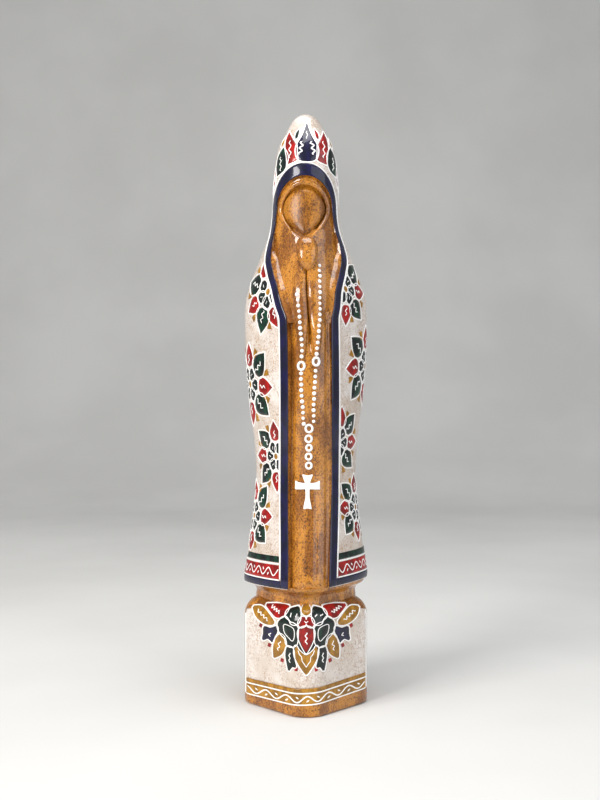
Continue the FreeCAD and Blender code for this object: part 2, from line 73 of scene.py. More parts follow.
# Height, front depth and back depth over the half width, roundness of the front.
FULLNESS = np.array([
    (54, 1.186, 0.865, 0.50), (118, 1.26, 0.93, 0.50), (190, 1.178, 0.86, 0.50),
    (207, 1.18, 0.89, 0.56), (222, 1.22, 0.97, 0.70), (238, 1.32, 1.07, 0.85),
    (256, 1.30, 1.06, 0.95), (284, 1.15, 1.02, 1.0), (300, 1.10, 1.0, 1.0)])
# Height and middle of the front opening, which the carver let wander a little.
MIDDLE = np.array([(54, 1.0), (90, 1.6), (150, 1.9), (190, 1.5), (207, 0.3), (225, 0.0),
                   (245, -0.8), (300, -0.6)])


def smooth_curve(x, table, column=1):
    """Cubic between marked points whose slopes are limited so that it never overshoots them."""
    knots, values = table[:, 0], table[:, column]
    step = np.diff(values) / np.diff(knots)
    slope = np.zeros_like(values)
    same = step[1:] * step[:-1] > 0
    safe = np.where(same, step[1:] + step[:-1], 1.0)
    slope[1:-1] = np.where(same, 2 * step[1:] * step[:-1] / safe, 0.0)
    slope[0], slope[-1] = step[0], step[-1]
    x = np.clip(x, knots[0], knots[-1])
    k = np.clip(np.searchsorted(knots, x, side="right") - 1, 0, len(knots) - 2)
    width = knots[k + 1] - knots[k]
    t = (x - knots[k]) / width
    return (values[k] * (1 + 2 * t) * (1 - t) ** 2 + width * slope[k] * t * (1 - t) ** 2
            + values[k + 1] * t ** 2 * (3 - 2 * t) + width * slope[k + 1] * t ** 2 * (t - 1))


def paired(a, b):
    """Two numbers or arrays as float arrays of one shape."""
    return np.broadcast_arrays(np.asarray(a, float), np.asarray(b, float))


def smooth_step(t):
    """0 below 0, 1 above 1, and 3t^2 - 2t^3 between them."""
    t = np.clip(t, 0, 1)
    return t ** 2 * (3 - 2 * t)


def half_width(z):
    """Half the figure's width at a height."""
    return smooth_curve(z, OUTLINE)


def middle(z):
    """Where the middle of the opening lies across the figure."""
    return smooth_curve(z, MIDDLE)


def mantle_at(bearing, z):
    """Point of the mantle: half width times a mix of the sine and its square across, depth times
    the same mix of the cosine along; behind the side line the back is a plain full oval."""
    bearing, z = paired(bearing, z)
    half, sine, cosine = half_width(z), np.sin(bearing), np.cos(bearing)
    wedge = smooth_curve(z, FULLNESS, 3)
    mix = np.where(cosine > 0, wedge, BACK_FULLNESS)
    x = half * ((1 - mix) * sine * np.abs(sine) + mix * sine)
    front = half * smooth_curve(z, FULLNESS, 1) * ((1 - mix) * cosine ** 2 + mix * cosine)
    back = half * smooth_curve(z, FULLNESS, 2) * -cosine
    y = SIDE_LINE + np.where(cosine > 0, -front, back)
    return np.stack([x, y, z], axis=-1)


def bearing_at(x, z):
    """Bearing of the front point that lies x across: the mix of sine and square solved for the sine."""
    share = np.clip(np.abs(x) / np.maximum(half_width(z), 0.01), 0, 1)
    mix = smooth_curve(z, FULLNESS, 3)
    sine = 2 * share / (mix + np.sqrt(mix ** 2 + 4 * (1 - mix) * share))
    return np.sign(x) * np.arcsin(np.clip(sine, 0, 1))


def mantle_front(x, z):
    """Point of the mantle seen from the front at x across and z up."""
    x, z = paired(x, z)
    return mantle_at(bearing_at(x, z), z)


print("mantle half width at hem, knees, elbows, face:", half_width(np.array([62, 115, 193, 256])))

# %% [markdown]
# ## Distances along the surface
#
# A flower is drawn with its true shape on the wood, so its sketch has to be wrapped round the
# figure by arc length, not by bearing. A table of arc lengths, one row for each level, turns a
# distance from the front into a bearing; between rows and columns it is interpolated.

# %% Arc length round the mantle
ROWS = np.arange(54.0, 300.0, 1.0)
COLUMNS = np.linspace(0, np.pi, 361)
level_points = mantle_at(COLUMNS[None, :], ROWS[:, None])
steps = np.linalg.norm(np.diff(level_points, axis=1), axis=-1)
run = np.concatenate([np.zeros((len(ROWS), 1)), np.cumsum(steps, axis=1)], axis=1)
half_girth = run[:, -1]
SHARES = np.linspace(0, 1, 241)
bearing_table = np.array([np.interp(SHARES, row / row[-1], COLUMNS) for row in run])


def girth_at(z):
    """Half the way round the mantle at a height."""
    return np.interp(z, ROWS, half_girth)


def bearing_of_share(share, z):
    """Bearing of a share (-1 to 1) of the half girth, read from the table in both directions."""
    share = (np.asarray(share, float) + 1) % 2 - 1
    size = np.abs(share) * (len(SHARES) - 1)
    row = np.clip(z, ROWS[0], ROWS[-1] - 1e-6) - ROWS[0]
    i, j = np.floor(row).astype(int), np.minimum(np.floor(size).astype(int), len(SHARES) - 2)
    i = np.minimum(i, len(ROWS) - 2)
    u, v = row - i, size - j
    low = bearing_table[i, j] * (1 - v) + bearing_table[i, j + 1] * v
    high = bearing_table[i + 1, j] * (1 - v) + bearing_table[i + 1, j + 1] * v
    return np.sign(share) * (low * (1 - u) + high * u)


def share_at(x, z):
    """Share of the half girth at which the front point x across and z up lies."""
    bearing = float(bearing_at(x, z))
    row = run[int(np.clip(z - ROWS[0], 0, len(ROWS) - 1))]
    return float(np.sign(bearing) * np.interp(abs(bearing), COLUMNS, row) / row[-1])


def mantle_wrap(share, foot):
    """A surface for sketches centred on one upright line of the mantle: s mm along, z up."""
    def surface(s, z):
        """Sketch point to mantle point: the share grows by s over the half girth."""
        z = np.asarray(z, float) + foot
        return mantle_at(bearing_of_share(share + s / girth_at(z), z), z)
    return surface


print("girth at the elbows, mm:", round(2 * float(girth_at(193.0))))

# %% [markdown]
# ## Turning surfaces into solid pieces
#
# Everything is made from rings: a stack of closed loops, skinned with quads and closed at both
# ends. A painted shape is such a stack too: it starts under the surface, swells to the thickness
# of the paint and closes over the top. Each helper below returns plain arrays in millimetres;
# `make_piece` puts any number of them into one mesh in metres and turns all faces outward.

# %% Mesh helpers
def normals_on(surface, s, z):
    """Unit normal of a surface, from the cross product of small steps along both directions."""
    step = 0.02
    along = surface(s + step, z) - surface(s - step, z)
    up = surface(s, z + step) - surface(s, z - step)
    normal = np.cross(along, up)
    return normal / np.maximum(np.linalg.norm(normal, axis=-1, keepdims=True), 1e-9)


def lifted(surface, s, z, height):
    """Points that stand a given height off a surface."""
    return surface(s, z) + normals_on(surface, s, z) * np.asarray(height)[..., None]


def ring_faces(rings, first):
    """Quads of a stack of closed rings, with the two end rings closed by one polygon each."""
    count, around = rings.shape[:2]
    index = np.arange(count * around).reshape(count, around) + first
    beside = np.roll(index, -1, axis=1)
    quads = np.stack([index[:-1], beside[:-1], beside[1:], index[1:]], axis=-1).reshape(-1, 4)
    return quads.tolist() + [index[0, ::-1].tolist(), index[-1].tolist()]


def loop_faces(rings, first):
    """Quads of closed rings that follow each other round a closed path."""
    count, around = rings.shape[:2]
    index = np.arange(count * around).reshape(count, around) + first
    beside, following = np.roll(index, -1, axis=1), np.roll(index, -1, axis=0)
    both = np.roll(beside, -1, axis=0)
    return np.stack([index, beside, both, following], axis=-1).reshape(-1, 4).tolist()


def sheet_faces(grid, first):
    """Quads of an open grid."""
    count, across = grid.shape[:2]
    index = np.arange(count * across).reshape(count, across) + first
    return np.stack([index[:-1, :-1], index[:-1, 1:], index[1:, 1:], index[1:, :-1]],
                    axis=-1).reshape(-1, 4).tolist()


def put_in_scene(name, data):
    """A new object, linked to the scene."""
    made = bpy.data.objects.new(name, data)
    bpy.context.scene.collection.objects.link(made)
    return made


def make_piece(name, parts, material, loops=(), sheets=(), sharp=None, weld=None):
    """One mesh object from stacks of rings, closed loops of rings and open grids, given in mm.
    It replaces the CAD node that has its name, if there is one."""
    points, faces, first = [], [], 0
    blocks = [(p, ring_faces) for p in parts] + [(p, loop_faces) for p in loops]
    for block, skin in blocks + [(p, sheet_faces) for p in sheets]:
        faces += skin(block, first)
        points.append(block.reshape(-1, 3))
        first += len(points[-1])
    mesh = bpy.data.meshes.new(name)
    mesh.from_pydata((np.concatenate(points) * MM).tolist(), [], faces)
    work = bmesh.new()
    work.from_mesh(mesh)
    if weld:
        bmesh.ops.remove_doubles(work, verts=work.verts, dist=weld * MM)
    bmesh.ops.recalc_face_normals(work, faces=work.faces)
    work.to_mesh(mesh)
    work.free()
    mesh.shade_smooth()
    if sharp:
        mesh.set_sharp_from_angle(angle=np.radians(sharp))
    mesh.materials.append(material)
    piece = put_in_scene(name, mesh)
    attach(piece, "root")
    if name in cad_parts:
        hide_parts(name)
    print("%-24s %7d faces" % (name, len(mesh.polygons)))
    return piece


def mound(surface, outline, rise, sink=0.25, rings=5, square=4.0):
    """A filled shape that swells off a surface: the outline shrunk towards its middle ring by
    ring, each ring raised by (1 - share^square)^0.5, over a flat underside below the surface."""
    centre = outline.mean(axis=0)
    shares = np.concatenate([[0.12, 0.6], np.cos(np.linspace(0, np.pi / 2, rings + 1))[:-1] ** 0.7,
                             [0.08]])
    heights = np.concatenate([[-sink, -sink], rise * (1 - shares[2:] ** square) ** 0.5])
    heights[2] = -sink
    spots = centre + shares[:, None, None] * (outline - centre)
    return lifted(surface, spots[..., 0], spots[..., 1],
                  np.repeat(heights[:, None], len(outline), axis=1))


def length_along(path):
    """Distance of each point from the start of its path."""
    return np.concatenate([[0], np.cumsum(np.linalg.norm(np.diff(path, axis=0), axis=1))])


def side_ways(path, closed):
    """Side directions of a path: the step from the last point to the next, turned a quarter."""
    around = np.roll(path, -1, axis=0) - np.roll(path, 1, axis=0)
    step = around if closed else np.gradient(path, axis=0)
    step /= np.maximum(np.linalg.norm(step, axis=1, keepdims=True), 1e-9)
    return np.stack([step[:, 1], -step[:, 0]], axis=1)


# Half across and height of a brush line's section, as shares of half its width and of its rise.
LINE_SECTION = np.array([(-1.0, -0.6), (-0.95, 0.25), (-0.55, 0.85), (0.0, 1.0), (0.55, 0.85),
                         (0.95, 0.25), (1.0, -0.6)])


def brush_line(surface, path, width, rise=0.22, closed=False):
    """A brush line: a low round section carried along a path; open ends are drawn out thin."""
    side = side_ways(path, closed)
    swell = np.ones(len(path))
    if not closed:
        run = length_along(path)
        swell = np.clip(np.minimum(run, run[-1] - run) / (1.2 * width), 0.08, 1) ** 0.5
    spots = (path[:, None, :] + side[:, None, :] * (LINE_SECTION[None, :, :1]
             * (0.5 * width * swell)[:, None, None]))
    heights = LINE_SECTION[None, :, 1] * rise * swell[:, None]
    return lifted(surface, spots[..., 0], spots[..., 1], heights)


def band(surface, low, high, rise=0.16, sink=0.25, across=7):
    """A band of paint between two paths of equal length: flat on top, rounded at both edges."""
    share = np.concatenate([[0.0, 0.0], np.linspace(0.02, 0.98, across), [1.0, 1.0]])
    height = np.full(len(share), rise)
    height[[0, -1]] = -sink
    height[[1, -2]] = 0.3 * rise
    spots = low[:, None, :] + share[None, :, None] * (high - low)[:, None, :]
    return lifted(surface, spots[..., 0], spots[..., 1], np.repeat(height[None], len(low), axis=0))


def resample(path, count):
    """The same path with evenly spaced points."""
    length = length_along(path)
    spot = np.linspace(0, length[-1], count)
    return np.stack([np.interp(spot, length, path[:, k]) for k in (0, 1)], axis=1)


# %% [markdown]
# ## Finishes
#
# Shader maths reads best as plain expressions, so one small class wraps a socket and gives it the
# usual operators. The finishes follow the real layers: wood with flecks and long grain, a crackled
# white ground, five pot colours that pool darker in places, and over all of them the same thick
# varnish, which is the coat of the shader with its strength set on the socket itself.

# %% A socket with operators
class Signal:
    """A shader socket that can be added, multiplied and fed to other nodes."""

    def __init__(self, tree, socket):
        self.tree, self.socket = tree, socket

    def node(self, kind, settings=None, output=0, **links):
        """Any node: settings first, then values or signals by input name."""
        made = self.tree.nodes.new(kind)
        for key, value in (settings or {}).items():
            setattr(made, key, value)
        for key, value in links.items():
            label = key.replace("_", " ")
            self.plug(value, next(i for i in made.inputs if i.name == label and i.enabled))
        return Signal(self.tree, made.outputs[output])

    def plug(self, value, spot):
        """Feeds an input with a signal, or sets it to a constant."""
        if isinstance(value, Signal):
            self.tree.links.new(value.socket, spot)
        else:
            spot.default_value = value

    def maths(self, operation, *others):
        """A Math node on this signal and the others."""
        made = self.tree.nodes.new("ShaderNodeMath")
        made.operation = operation
        for spot, value in zip(made.inputs, (self,) + others):
            self.plug(value, spot)
        return Signal(self.tree, made.outputs[0])

    def __add__(self, other):
        return self.maths("ADD", other)

    def __mul__(self, other):
        return self.maths("MULTIPLY", other)

    def __sub__(self, other):
        return self.maths("SUBTRACT", other)

    def __rsub__(self, other):
        return (self * -1.0) + other

    def __pow__(self, other):
        return self.maths("POWER", other)

    __radd__, __rmul__ = __add__, __mul__

    def ramp(self, low, high):
        """0 below low, 1 above high, smooth between."""
        return self.node("ShaderNodeMapRange", {"interpolation_type": "SMOOTHSTEP"},
                         Value=self, From_Min=low, From_Max=high)

    def blend(self, first, second):
        """First colour where this is 0, second where it is 1."""
        made = self.tree.nodes.new("ShaderNodeMix")
        made.data_type = "RGBA"
        self.plug(self, made.inputs[0])
        for spot, value in ((made.inputs[6], first), (made.inputs[7], second)):
            self.plug(value if isinstance(value, Signal) else (*value, 1.0), spot)
        return Signal(self.tree, made.outputs[2])


def new_finish(name):
    """An empty material with its shader and a signal that reads Object coordinates."""
    material = bpy.data.materials.new(name)
    material.use_nodes = True
    tree = material.node_tree
    shader = tree.nodes["Principled BSDF"]
    place = Signal(tree, tree.nodes.new("ShaderNodeTexCoord").outputs["Object"])
    return material, shader, place


def grain(place, scale, stretch=1.0, detail=3.0, rough=0.55, distort=0.0):
    """Noise per metre, stretched upward so that it runs along the billet."""
    long_way = place.node("ShaderNodeMapping", Vector=place, Scale=(1, 1, 1.0 / stretch))
    return place.node("ShaderNodeTexNoise", {"noise_dimensions": "3D"}, Vector=long_way,
                      Scale=scale, Detail=detail, Roughness=rough, Distortion=distort)


UNDER_VARNISH = 0.18       # paint and wood shine little under the coat


def feed(material, shader, colour, roughness, bump=None, depth=0.1, coat=1.0, coat_rough=0.06):
    """Colour, roughness and bump on the shader, and the varnish as constants."""
    looks = {"Base Color": colour, "Roughness": roughness, "Coat Weight": coat,
             "Specular IOR Level": UNDER_VARNISH, "Coat Roughness": coat_rough}
    if bump:
        looks["Normal"] = bump.node("ShaderNodeBump", Height=bump, Strength=1.0, Distance=depth * MM)
    for label, value in looks.items():
        colour.plug(value, shader.inputs[label])
    return material


# %% [markdown]
# Carved wood: a honey ground, broad dark patches where stain soaked in, long streaks, and many
# short dark pores. The varnish fills the pores but still dips over them, which breaks up the shine.

# %% Wood, ground and pot colours
def carved_wood(name, pale, deep, dark, coat=1.0, coat_rough=0.08):
    """Honey wood: two tones mixed by broad noise, then pores and streaks darken it."""
    material, shader, place = new_finish(name)
    patches = grain(place, 120, 2.2, 4).ramp(0.40, 0.62)
    flecks = grain(place, 1250, 1.3, 4, 0.75)
    streaks = grain(place, 420, 14, 3, 0.6, 0.3)
    tone = (patches * 0.7 + flecks.ramp(0.40, 0.62) * 0.55).ramp(0.15, 1.08)
    base = tone.blend(deep, pale)
    pores = (flecks.ramp(0.49, 0.37) * 0.85 + streaks.ramp(0.46, 0.32) * 0.35).ramp(0.12, 1.1)
    return feed(material, shader, pores.blend(base, dark), 0.40, flecks, 0.14, coat, coat_rough)


def white_ground(name):
    """Off-white ground: warm and cool clouds, fine tan and grey specks, hairline crackle."""
    material, shader, place = new_finish(name)
    clouds = grain(place, 60, 1.0, 3).ramp(0.35, 0.65)
    base = clouds.blend((0.57, 0.49, 0.42), (0.70, 0.65, 0.61))
    specks = grain(place, 950, 1.0, 4, 0.8)
    tan_specks = specks.ramp(0.51, 0.40) * grain(place, 110, 1.0, 2).ramp(0.30, 0.58)
    grey_specks = specks.ramp(0.55, 0.63) * grain(place, 140, 1.0, 2).ramp(0.42, 0.60)
    cells = place.node("ShaderNodeTexVoronoi", {"feature": "DISTANCE_TO_EDGE"}, Vector=place,
                       Scale=520.0, Randomness=1.0)
    crackle = cells.ramp(0.07, 0.015) * grain(place, 200, 1.0, 2).ramp(0.42, 0.60)
    colour = (tan_specks * 0.80).blend(base, (0.36, 0.21, 0.12))
    colour = (grey_specks * 0.45).blend(colour, (0.36, 0.32, 0.32))
    colour = (crackle * 0.5).blend(colour, (0.30, 0.20, 0.14))
    return feed(material, shader, colour, 0.38, crackle * -1.0 + specks * 0.3, 0.05,
                coat_rough=0.08)


def pot_colour(name, colour, pooled, amount=0.75, coat=0.6):
    """Batik paint: the colour with darker pools and faint long brush marks."""
    material, shader, place = new_finish(name)
    pools = grain(place, 260, 1.6, 3).ramp(0.36, 0.60) * amount
    marks = grain(place, 1500, 5, 2)
    mixed = (pools + marks.ramp(0.35, 0.75) * 0.18).blend(colour, pooled)
    return feed(material, shader, mixed, 0.34, marks, 0.02, coat)


WOOD = carved_wood("honey_wood", (0.50, 0.200, 0.020), (0.20, 0.064, 0.006), (0.05, 0.016, 0.003))
FACE_WOOD = carved_wood("face_wood", (0.40, 0.155, 0.012), (0.15, 0.048, 0.004),
                        (0.045, 0.014, 0.002), 0.4, 0.32)
GROUND = white_ground("crackled_ground")
NAVY = pot_colour("navy_paint", (0.007, 0.006, 0.046), (0.003, 0.003, 0.014))
DARK = pot_colour("night_green_paint", (0.004, 0.014, 0.010), (0.002, 0.003, 0.006))
GREEN = pot_colour("green_paint", (0.002, 0.036, 0.018), (0.001, 0.004, 0.004), 0.98)
RED = pot_colour("red_paint", (0.38, 0.006, 0.004), (0.11, 0.003, 0.002))
OCHRE = pot_colour("ochre_paint", (0.42, 0.20, 0.016), (0.18, 0.080, 0.006))
WHITE = pot_colour("white_line_paint", (0.88, 0.87, 0.85), (0.76, 0.74, 0.72), 0.4)

# %% [markdown]
# ## The plinth
#
# The plinth keeps the billet's own plan: a five-sided post with its corner forward and every
# corner rounded to the same radius. Such a plan is the line round five centres pushed out by the
# radius, and pushing it out by less gives the rounded shoulder and the eased foot for free.

# %% Plinth surface and block
PLINTH_TOP = 54.0
CORNER = 12.0
SHOULDER = 10.0
FOOT = 1.6
CENTRES = np.array([(0.0, -21.0), (19.2, -1.0), (11.0, 19.5), (-11.0, 19.5), (-19.2, -1.0)])
ARC_STEPS = 40


def plan_tables():
    """Centre point and outward direction for even steps round the plan, starting at the back."""
    order = np.roll(CENTRES, -3, axis=0)
    after, before = np.roll(order, -1, axis=0), np.roll(order, 1, axis=0)
    come, go = order - before, after - order
    turn_in = np.arctan2(come[:, 1], come[:, 0]) - np.pi / 2
    turn = (np.arctan2(go[:, 1], go[:, 0]) - np.pi / 2 - turn_in) % (2 * np.pi)
    arc = (turn_in[:, None] + turn[:, None] * np.linspace(0, 1, ARC_STEPS)).ravel()
    spots = np.repeat(order, ARC_STEPS, axis=0)
    ways = np.stack([np.cos(arc), np.sin(arc)], axis=1)
    outer = spots + CORNER * ways
    return spots, ways, length_along(np.concatenate([outer, outer[:1]]))


plan_spots, plan_ways, plan_run = plan_tables()
PLAN_GIRTH = plan_run[-1]


def around_plan(table, s):
    """Closed table read at a distance along the plan."""
    closed = np.concatenate([table, table[:1]])
    return np.stack([np.interp(s % PLAN_GIRTH, plan_run, closed[:, k]) for k in (0, 1)], axis=-1)


def plinth_at(s, z, swell=0.0):
    """Plan pushed out by the corner radius less the rounding of shoulder and foot."""
    s, z = paired(s, z)
    top = np.clip(z - (PLINTH_TOP - SHOULDER), 0, SHOULDER)
    low = np.clip(FOOT - z, 0, FOOT)
    inset = SHOULDER - np.sqrt(SHOULDER ** 2 - top ** 2) + FOOT - np.sqrt(FOOT ** 2 - low ** 2)
    way = around_plan(plan_ways, s)
    way = way / np.linalg.norm(way, axis=-1, keepdims=True)
    plan = around_plan(plan_spots, s) + way * (CORNER + swell - inset)[..., None]
    return np.concatenate([plan, z[..., None]], axis=-1)


front_run = np.linspace(0, PLAN_GIRTH, 2001)
front_plan = plinth_at(front_run, 20.0)
facing = np.flatnonzero(front_plan[:, 1] < -0.9)
facing = facing[np.argsort(front_plan[facing, 0])]


def plinth_front(x, z):
    """Point of the plinth's two front faces at x across and z up."""
    return plinth_at(np.interp(x, front_plan[facing, 0], front_run[facing]), z)


turns = np.linspace(0, PLAN_GIRTH, 261)[:-1]
shoulder_steps = PLINTH_TOP - SHOULDER + SHOULDER * np.sin(np.linspace(0, np.pi / 2 * 0.985, 14))
plinth_levels = np.concatenate([FOOT - FOOT * np.cos(np.linspace(0, np.pi / 2, 6)),
                                np.linspace(4, 42, 20), shoulder_steps])
make_piece("plinth_block", [plinth_at(turns[None], plinth_levels[:, None])], WOOD, sharp=50)

# %% [markdown]
# ## Neck, mantle and hood
#
# Under the hem the wood is cut in to a waist. The mantle above is one surface whose middle front is
# left open: its rows run from the right edge of the opening round the back to the left edge, and
# above the arch a cap of rows closes over the head to the tip. Solidify gives the cloth its
# thickness, so the edge of the opening is real wood, and a small bevel eases that edge.

# %% Neck
# Height and half width.
NECK = np.array([(49.0, 24.4), (53.0, 25.6), (56.2, 25.3), (58.5, 26.6), (60.2, 29.4), (61.8, 30.3)])


def neck_at(bearing, z):
    """The mantle's own section drawn in to the neck's width."""
    base = mantle_at(bearing, z)
    shrink = (smooth_curve(z, NECK) / half_width(z))[..., None]
    return np.concatenate([base[..., :2] * shrink, base[..., 2:]], axis=-1)


neck_levels = np.linspace(NECK[0, 0], NECK[-1, 0], 28)
bearings = np.linspace(-np.pi, np.pi, 201)[:-1]
grid_z, grid_b = np.meshgrid(neck_levels, bearings, indexing="ij")
make_piece("neck", [neck_at(grid_b, grid_z)], WOOD, sharp=50)

# %% Opening outline
ARCH_LEVEL, ARCH_HALF, ARCH_RISE = 250.0, 14.1, 14.6
# Height and half width of the opening below the arch.
OPENING = np.array([(54, 10.2), (62, 10.2), (110, 10.9), (180, 10.9), (192, 11.2), (199, 12.9),
                    (207, 14.3), (216, 16.6), (224, 17.9), (230, 17.4), (238, 15.6), (246, 14.4),
                    (250, 14.1)])
CORNER_ANGLE = np.radians(52)      # where the upright edge becomes the arch
CORNER_LEVEL = ARCH_LEVEL + ARCH_RISE * np.sin(CORNER_ANGLE)


def opening_half(z):
    """Half width of the opening: marked points below, an ellipse over the head."""
    share = np.clip((z - ARCH_LEVEL) / ARCH_RISE, 0, 1)
    return np.where(z < ARCH_LEVEL, smooth_curve(z, OPENING), ARCH_HALF * np.sqrt(1 - share ** 2))


def edge_path(side, levels):
    """Front view of one edge of the opening."""
    return np.stack([middle(levels) + side * opening_half(levels), levels], axis=1)


def arch_path(count, grow=0.0, turn=CORNER_ANGLE):
    """Front view of the arch, from right corner to left corner, widened by grow."""
    angle = np.linspace(turn, np.pi - turn, count)
    return np.stack([middle(ARCH_LEVEL) + (ARCH_HALF + grow) * np.cos(angle),
                     ARCH_LEVEL + (ARCH_RISE + grow) * np.sin(angle)], axis=1)


# %% Mantle
SIDE_COLUMNS, ARCH_COLUMNS = 200, 60
TILT_FADES = 12.0          # the hem's tilt is gone this far up


def tilt_at(x, z):
    """How far the tilted hem lifts a point: in proportion to x, less and less further up."""
    return HEM_TILT * x * np.clip(1 - (z - HEM) / TILT_FADES, 0, 1)


levels = np.concatenate([np.linspace(HEM, 236, 130)[:-1], np.linspace(236, CORNER_LEVEL, 30)])
right, left = edge_path(1, levels), edge_path(-1, levels)
first = bearing_at(right[:, 0], levels)
last = bearing_at(left[:, 0], levels) + 2 * np.pi
share = np.linspace(0, 1, SIDE_COLUMNS)[None, :]
round_grid = first[:, None] + (last - first)[:, None] * share
body_rows = mantle_at(round_grid, levels[:, None])
body_rows[..., 2] += tilt_at(body_rows[..., 0], levels[:, None])

arch = arch_path(ARCH_COLUMNS)
arch_bearing = bearing_at(arch[:, 0], arch[:, 1])
cap_bearing = np.concatenate([round_grid[-1], arch_bearing[::-1][1:] + 2 * np.pi])
cap_base = np.concatenate([np.full(SIDE_COLUMNS, CORNER_LEVEL), arch[::-1, 1][1:]])
rise = 1 - (1 - np.linspace(0, 1, 42)) ** 1.7
cap_rows = mantle_at(cap_bearing[None, :],
                     cap_base[None, :] + (HOOD_TOP - cap_base)[None, :] * rise[:, None])
mantle = make_piece("mantle", [], GROUND, sheets=[body_rows, cap_rows], weld=0.01)
CLOTH = 4.2                # thickness of the carved cloth at the opening
mantle.data.materials.append(WOOD)
thick = mantle.modifiers.new("cloth", "SOLIDIFY")
thick.thickness, thick.offset, thick.use_rim = CLOTH * MM, -1, True
thick.material_offset = thick.material_offset_rim = 1
ease = mantle.modifiers.new("eased_edge", "BEVEL")
ease.width = 0.5 * MM
ease.segments = 3
ease.limit_method = "ANGLE"
ease.angle_limit = np.radians(50)

# %% [markdown]
# ## Gown, chest and sleeves
#
# Inside the opening the gown is a long rounded column with a shallow channel down each side. Above
# it two broad planes, the sleeves, slope from the edges of the mantle towards the hands; the chest
# and the lining of the hood fill the rest. All are height fields over the front view: so much
# behind the prow of the section for each distance from the middle.

# %% Gown
CHANNEL, CHANNEL_WIDE, CHANNEL_DEEP = 8.3, 0.75, 0.9


def prow(z):
    """How far forward the section reaches."""
    return SIDE_LINE - half_width(z) * smooth_curve(z, FULLNESS, 1)


def arm_groove(x, z):
    """The dark furrow between the forearms: a bell across, fading at both ends."""
    along = np.clip((z - 174) / 8, 0, 1) * np.clip((224 - z) / 4, 0, 1)
    return 1.5 * along * np.exp(-((x - middle(z) - 0.2) / 0.75) ** 2)


def gown_front(x, z):
    """Rounded column: a parabola behind the prow with a channel each side and faint long flutes."""
    x, z = paired(x, z)
    off = np.abs(x - middle(z))
    dip = 2.9 + 5.6 * (off / 10.2) ** 2.1
    dip = dip + CHANNEL_DEEP * np.exp(-((off - CHANNEL) / CHANNEL_WIDE) ** 2)
    dip = dip + 0.10 * np.cos(off * 1.9) * np.clip((150 - z) / 60, 0, 1) + arm_groove(x, z)
    return np.stack([x, prow(z) + dip, z], axis=-1)


def front_block(surface, levels, half, back, columns=70):
    """A solid whose front is the surface between -half and +half of the middle, flat behind."""
    share = np.linspace(-1, 1, columns)
    x = middle(levels)[:, None] + share[None, :] * half(levels)[:, None]
    z = np.broadcast_to(levels[:, None], x.shape)
    front = surface(x, z)
    rear = front[:, ::-1].copy()
    rear[..., 1] = back
    return np.concatenate([front, rear], axis=1)


def under_edge(z):
    """Half width of a filling: just past the inner edge of the mantle."""
    return opening_half(z) + 0.9


gown_block = front_block(gown_front, np.linspace(60.0, 196.0, 150), under_edge, -8.0)
make_piece("gown_column", [gown_block], WOOD, sharp=60)


# %% Chest
def chest_front(x, z):
    """The mantle's own front drawn back a little, more so in the middle where the hands lie."""
    x, z = paired(x, z)
    base = mantle_front(x, z)
    off = np.clip(np.abs(x - middle(z)) / np.maximum(opening_half(z), 1), 0, 1)
    base[..., 1] += 3.8 + 0.9 * off ** 2 + arm_groove(x, z)
    return base


chest_block = front_block(chest_front, np.linspace(191.0, 238.0, 70), under_edge, -2.0)
make_piece("chest", [chest_block], WOOD, sharp=60)


# %% Head lining with the hollow that holds the face
FACE_MIDDLE = np.array([-0.9, 246.6])
FACE_HALF, FACE_CHIN, FACE_CROWN, FACE_WIDEST = 9.7, 13.6, 10.6, 1.2


def face_outline(grow=1.0, count=72):
    """Teardrop: half an oval above; below, half width (1 - depth^1.55)^0.8 down to the chin."""
    turn = np.linspace(0, 2 * np.pi, count, endpoint=False)
    across = FACE_HALF * np.sin(turn)
    lower = np.cos(turn) < 0
    depth = np.abs(np.cos(turn))
    across = np.where(lower, FACE_HALF * np.sign(np.sin(turn)) * (1 - depth ** 1.55) ** 0.8, across)
    up = np.where(lower, -FACE_CHIN * depth, FACE_CROWN * np.cos(turn))
    return FACE_MIDDLE + grow * np.stack([across, up + FACE_WIDEST], axis=1)


def inside_face(x, z):
    """0 at the middle of the face, 1 on its outline, measured like the outline itself."""
    u = (x - FACE_MIDDLE[0]) / FACE_HALF
    v = z - FACE_MIDDLE[1] - FACE_WIDEST
    above = np.sqrt(u ** 2 + (v / FACE_CROWN) ** 2)
    below = (np.abs(u) ** 1.35 + np.clip(-v / FACE_CHIN, 0, None) ** 1.45) ** 0.74
    return np.where(v > 0, above, below)


def lining_front(x, z):
    """The hood's own front drawn back, with a dished hollow round the face."""
    x, z = paired(x, z)
    base = mantle_front(np.clip(x, -16.0, 15.0), z)
    base[..., 0] = x
    base[..., 1] += 2.0 + 2.6 * smooth_step((1.24 - inside_face(x, z)) / 0.22)
    below = smooth_step((238 - z) / 8.0)[..., None]
    return base * (1 - below) + (chest_front(x, z) + np.array([0, 0.02, 0])) * below


def lining_half(z):
    """Half width of the lining, which ends a little under the top of the arch."""
    return opening_half(np.minimum(z, ARCH_LEVEL + ARCH_RISE - 1.2)) + 0.9


lining_block = front_block(lining_front, np.linspace(229.0, 266.0, 130), lining_half, 2.0, 120)
make_piece("head_lining", [lining_block], WOOD, sharp=60)


# %% Face and veil roll
make_piece("face_pad", [mound(lining_front, face_outline(1.02), 3.0, 0.6, 14, 6.0)], FACE_WOOD)
print("the face is a blank pad, as on the real figure")


def veil_roll_path():
    """Over the top of the face and down both sides, as far as the cheeks."""
    ring = face_outline(1.24, 120)
    return np.concatenate([ring[-44:], ring[:45]])


make_piece("veil_roll", [brush_line(lining_front, veil_roll_path(), 2.6, 0.6)], WOOD)

# %% [markdown]
# ## Sleeves, forearms and hands
#
# Each sleeve is a long leaf-shaped plane laid on the chest; each forearm is a rounded ridge that
# starts beside the hands and sinks into the gown; the joined hands are one smooth block.

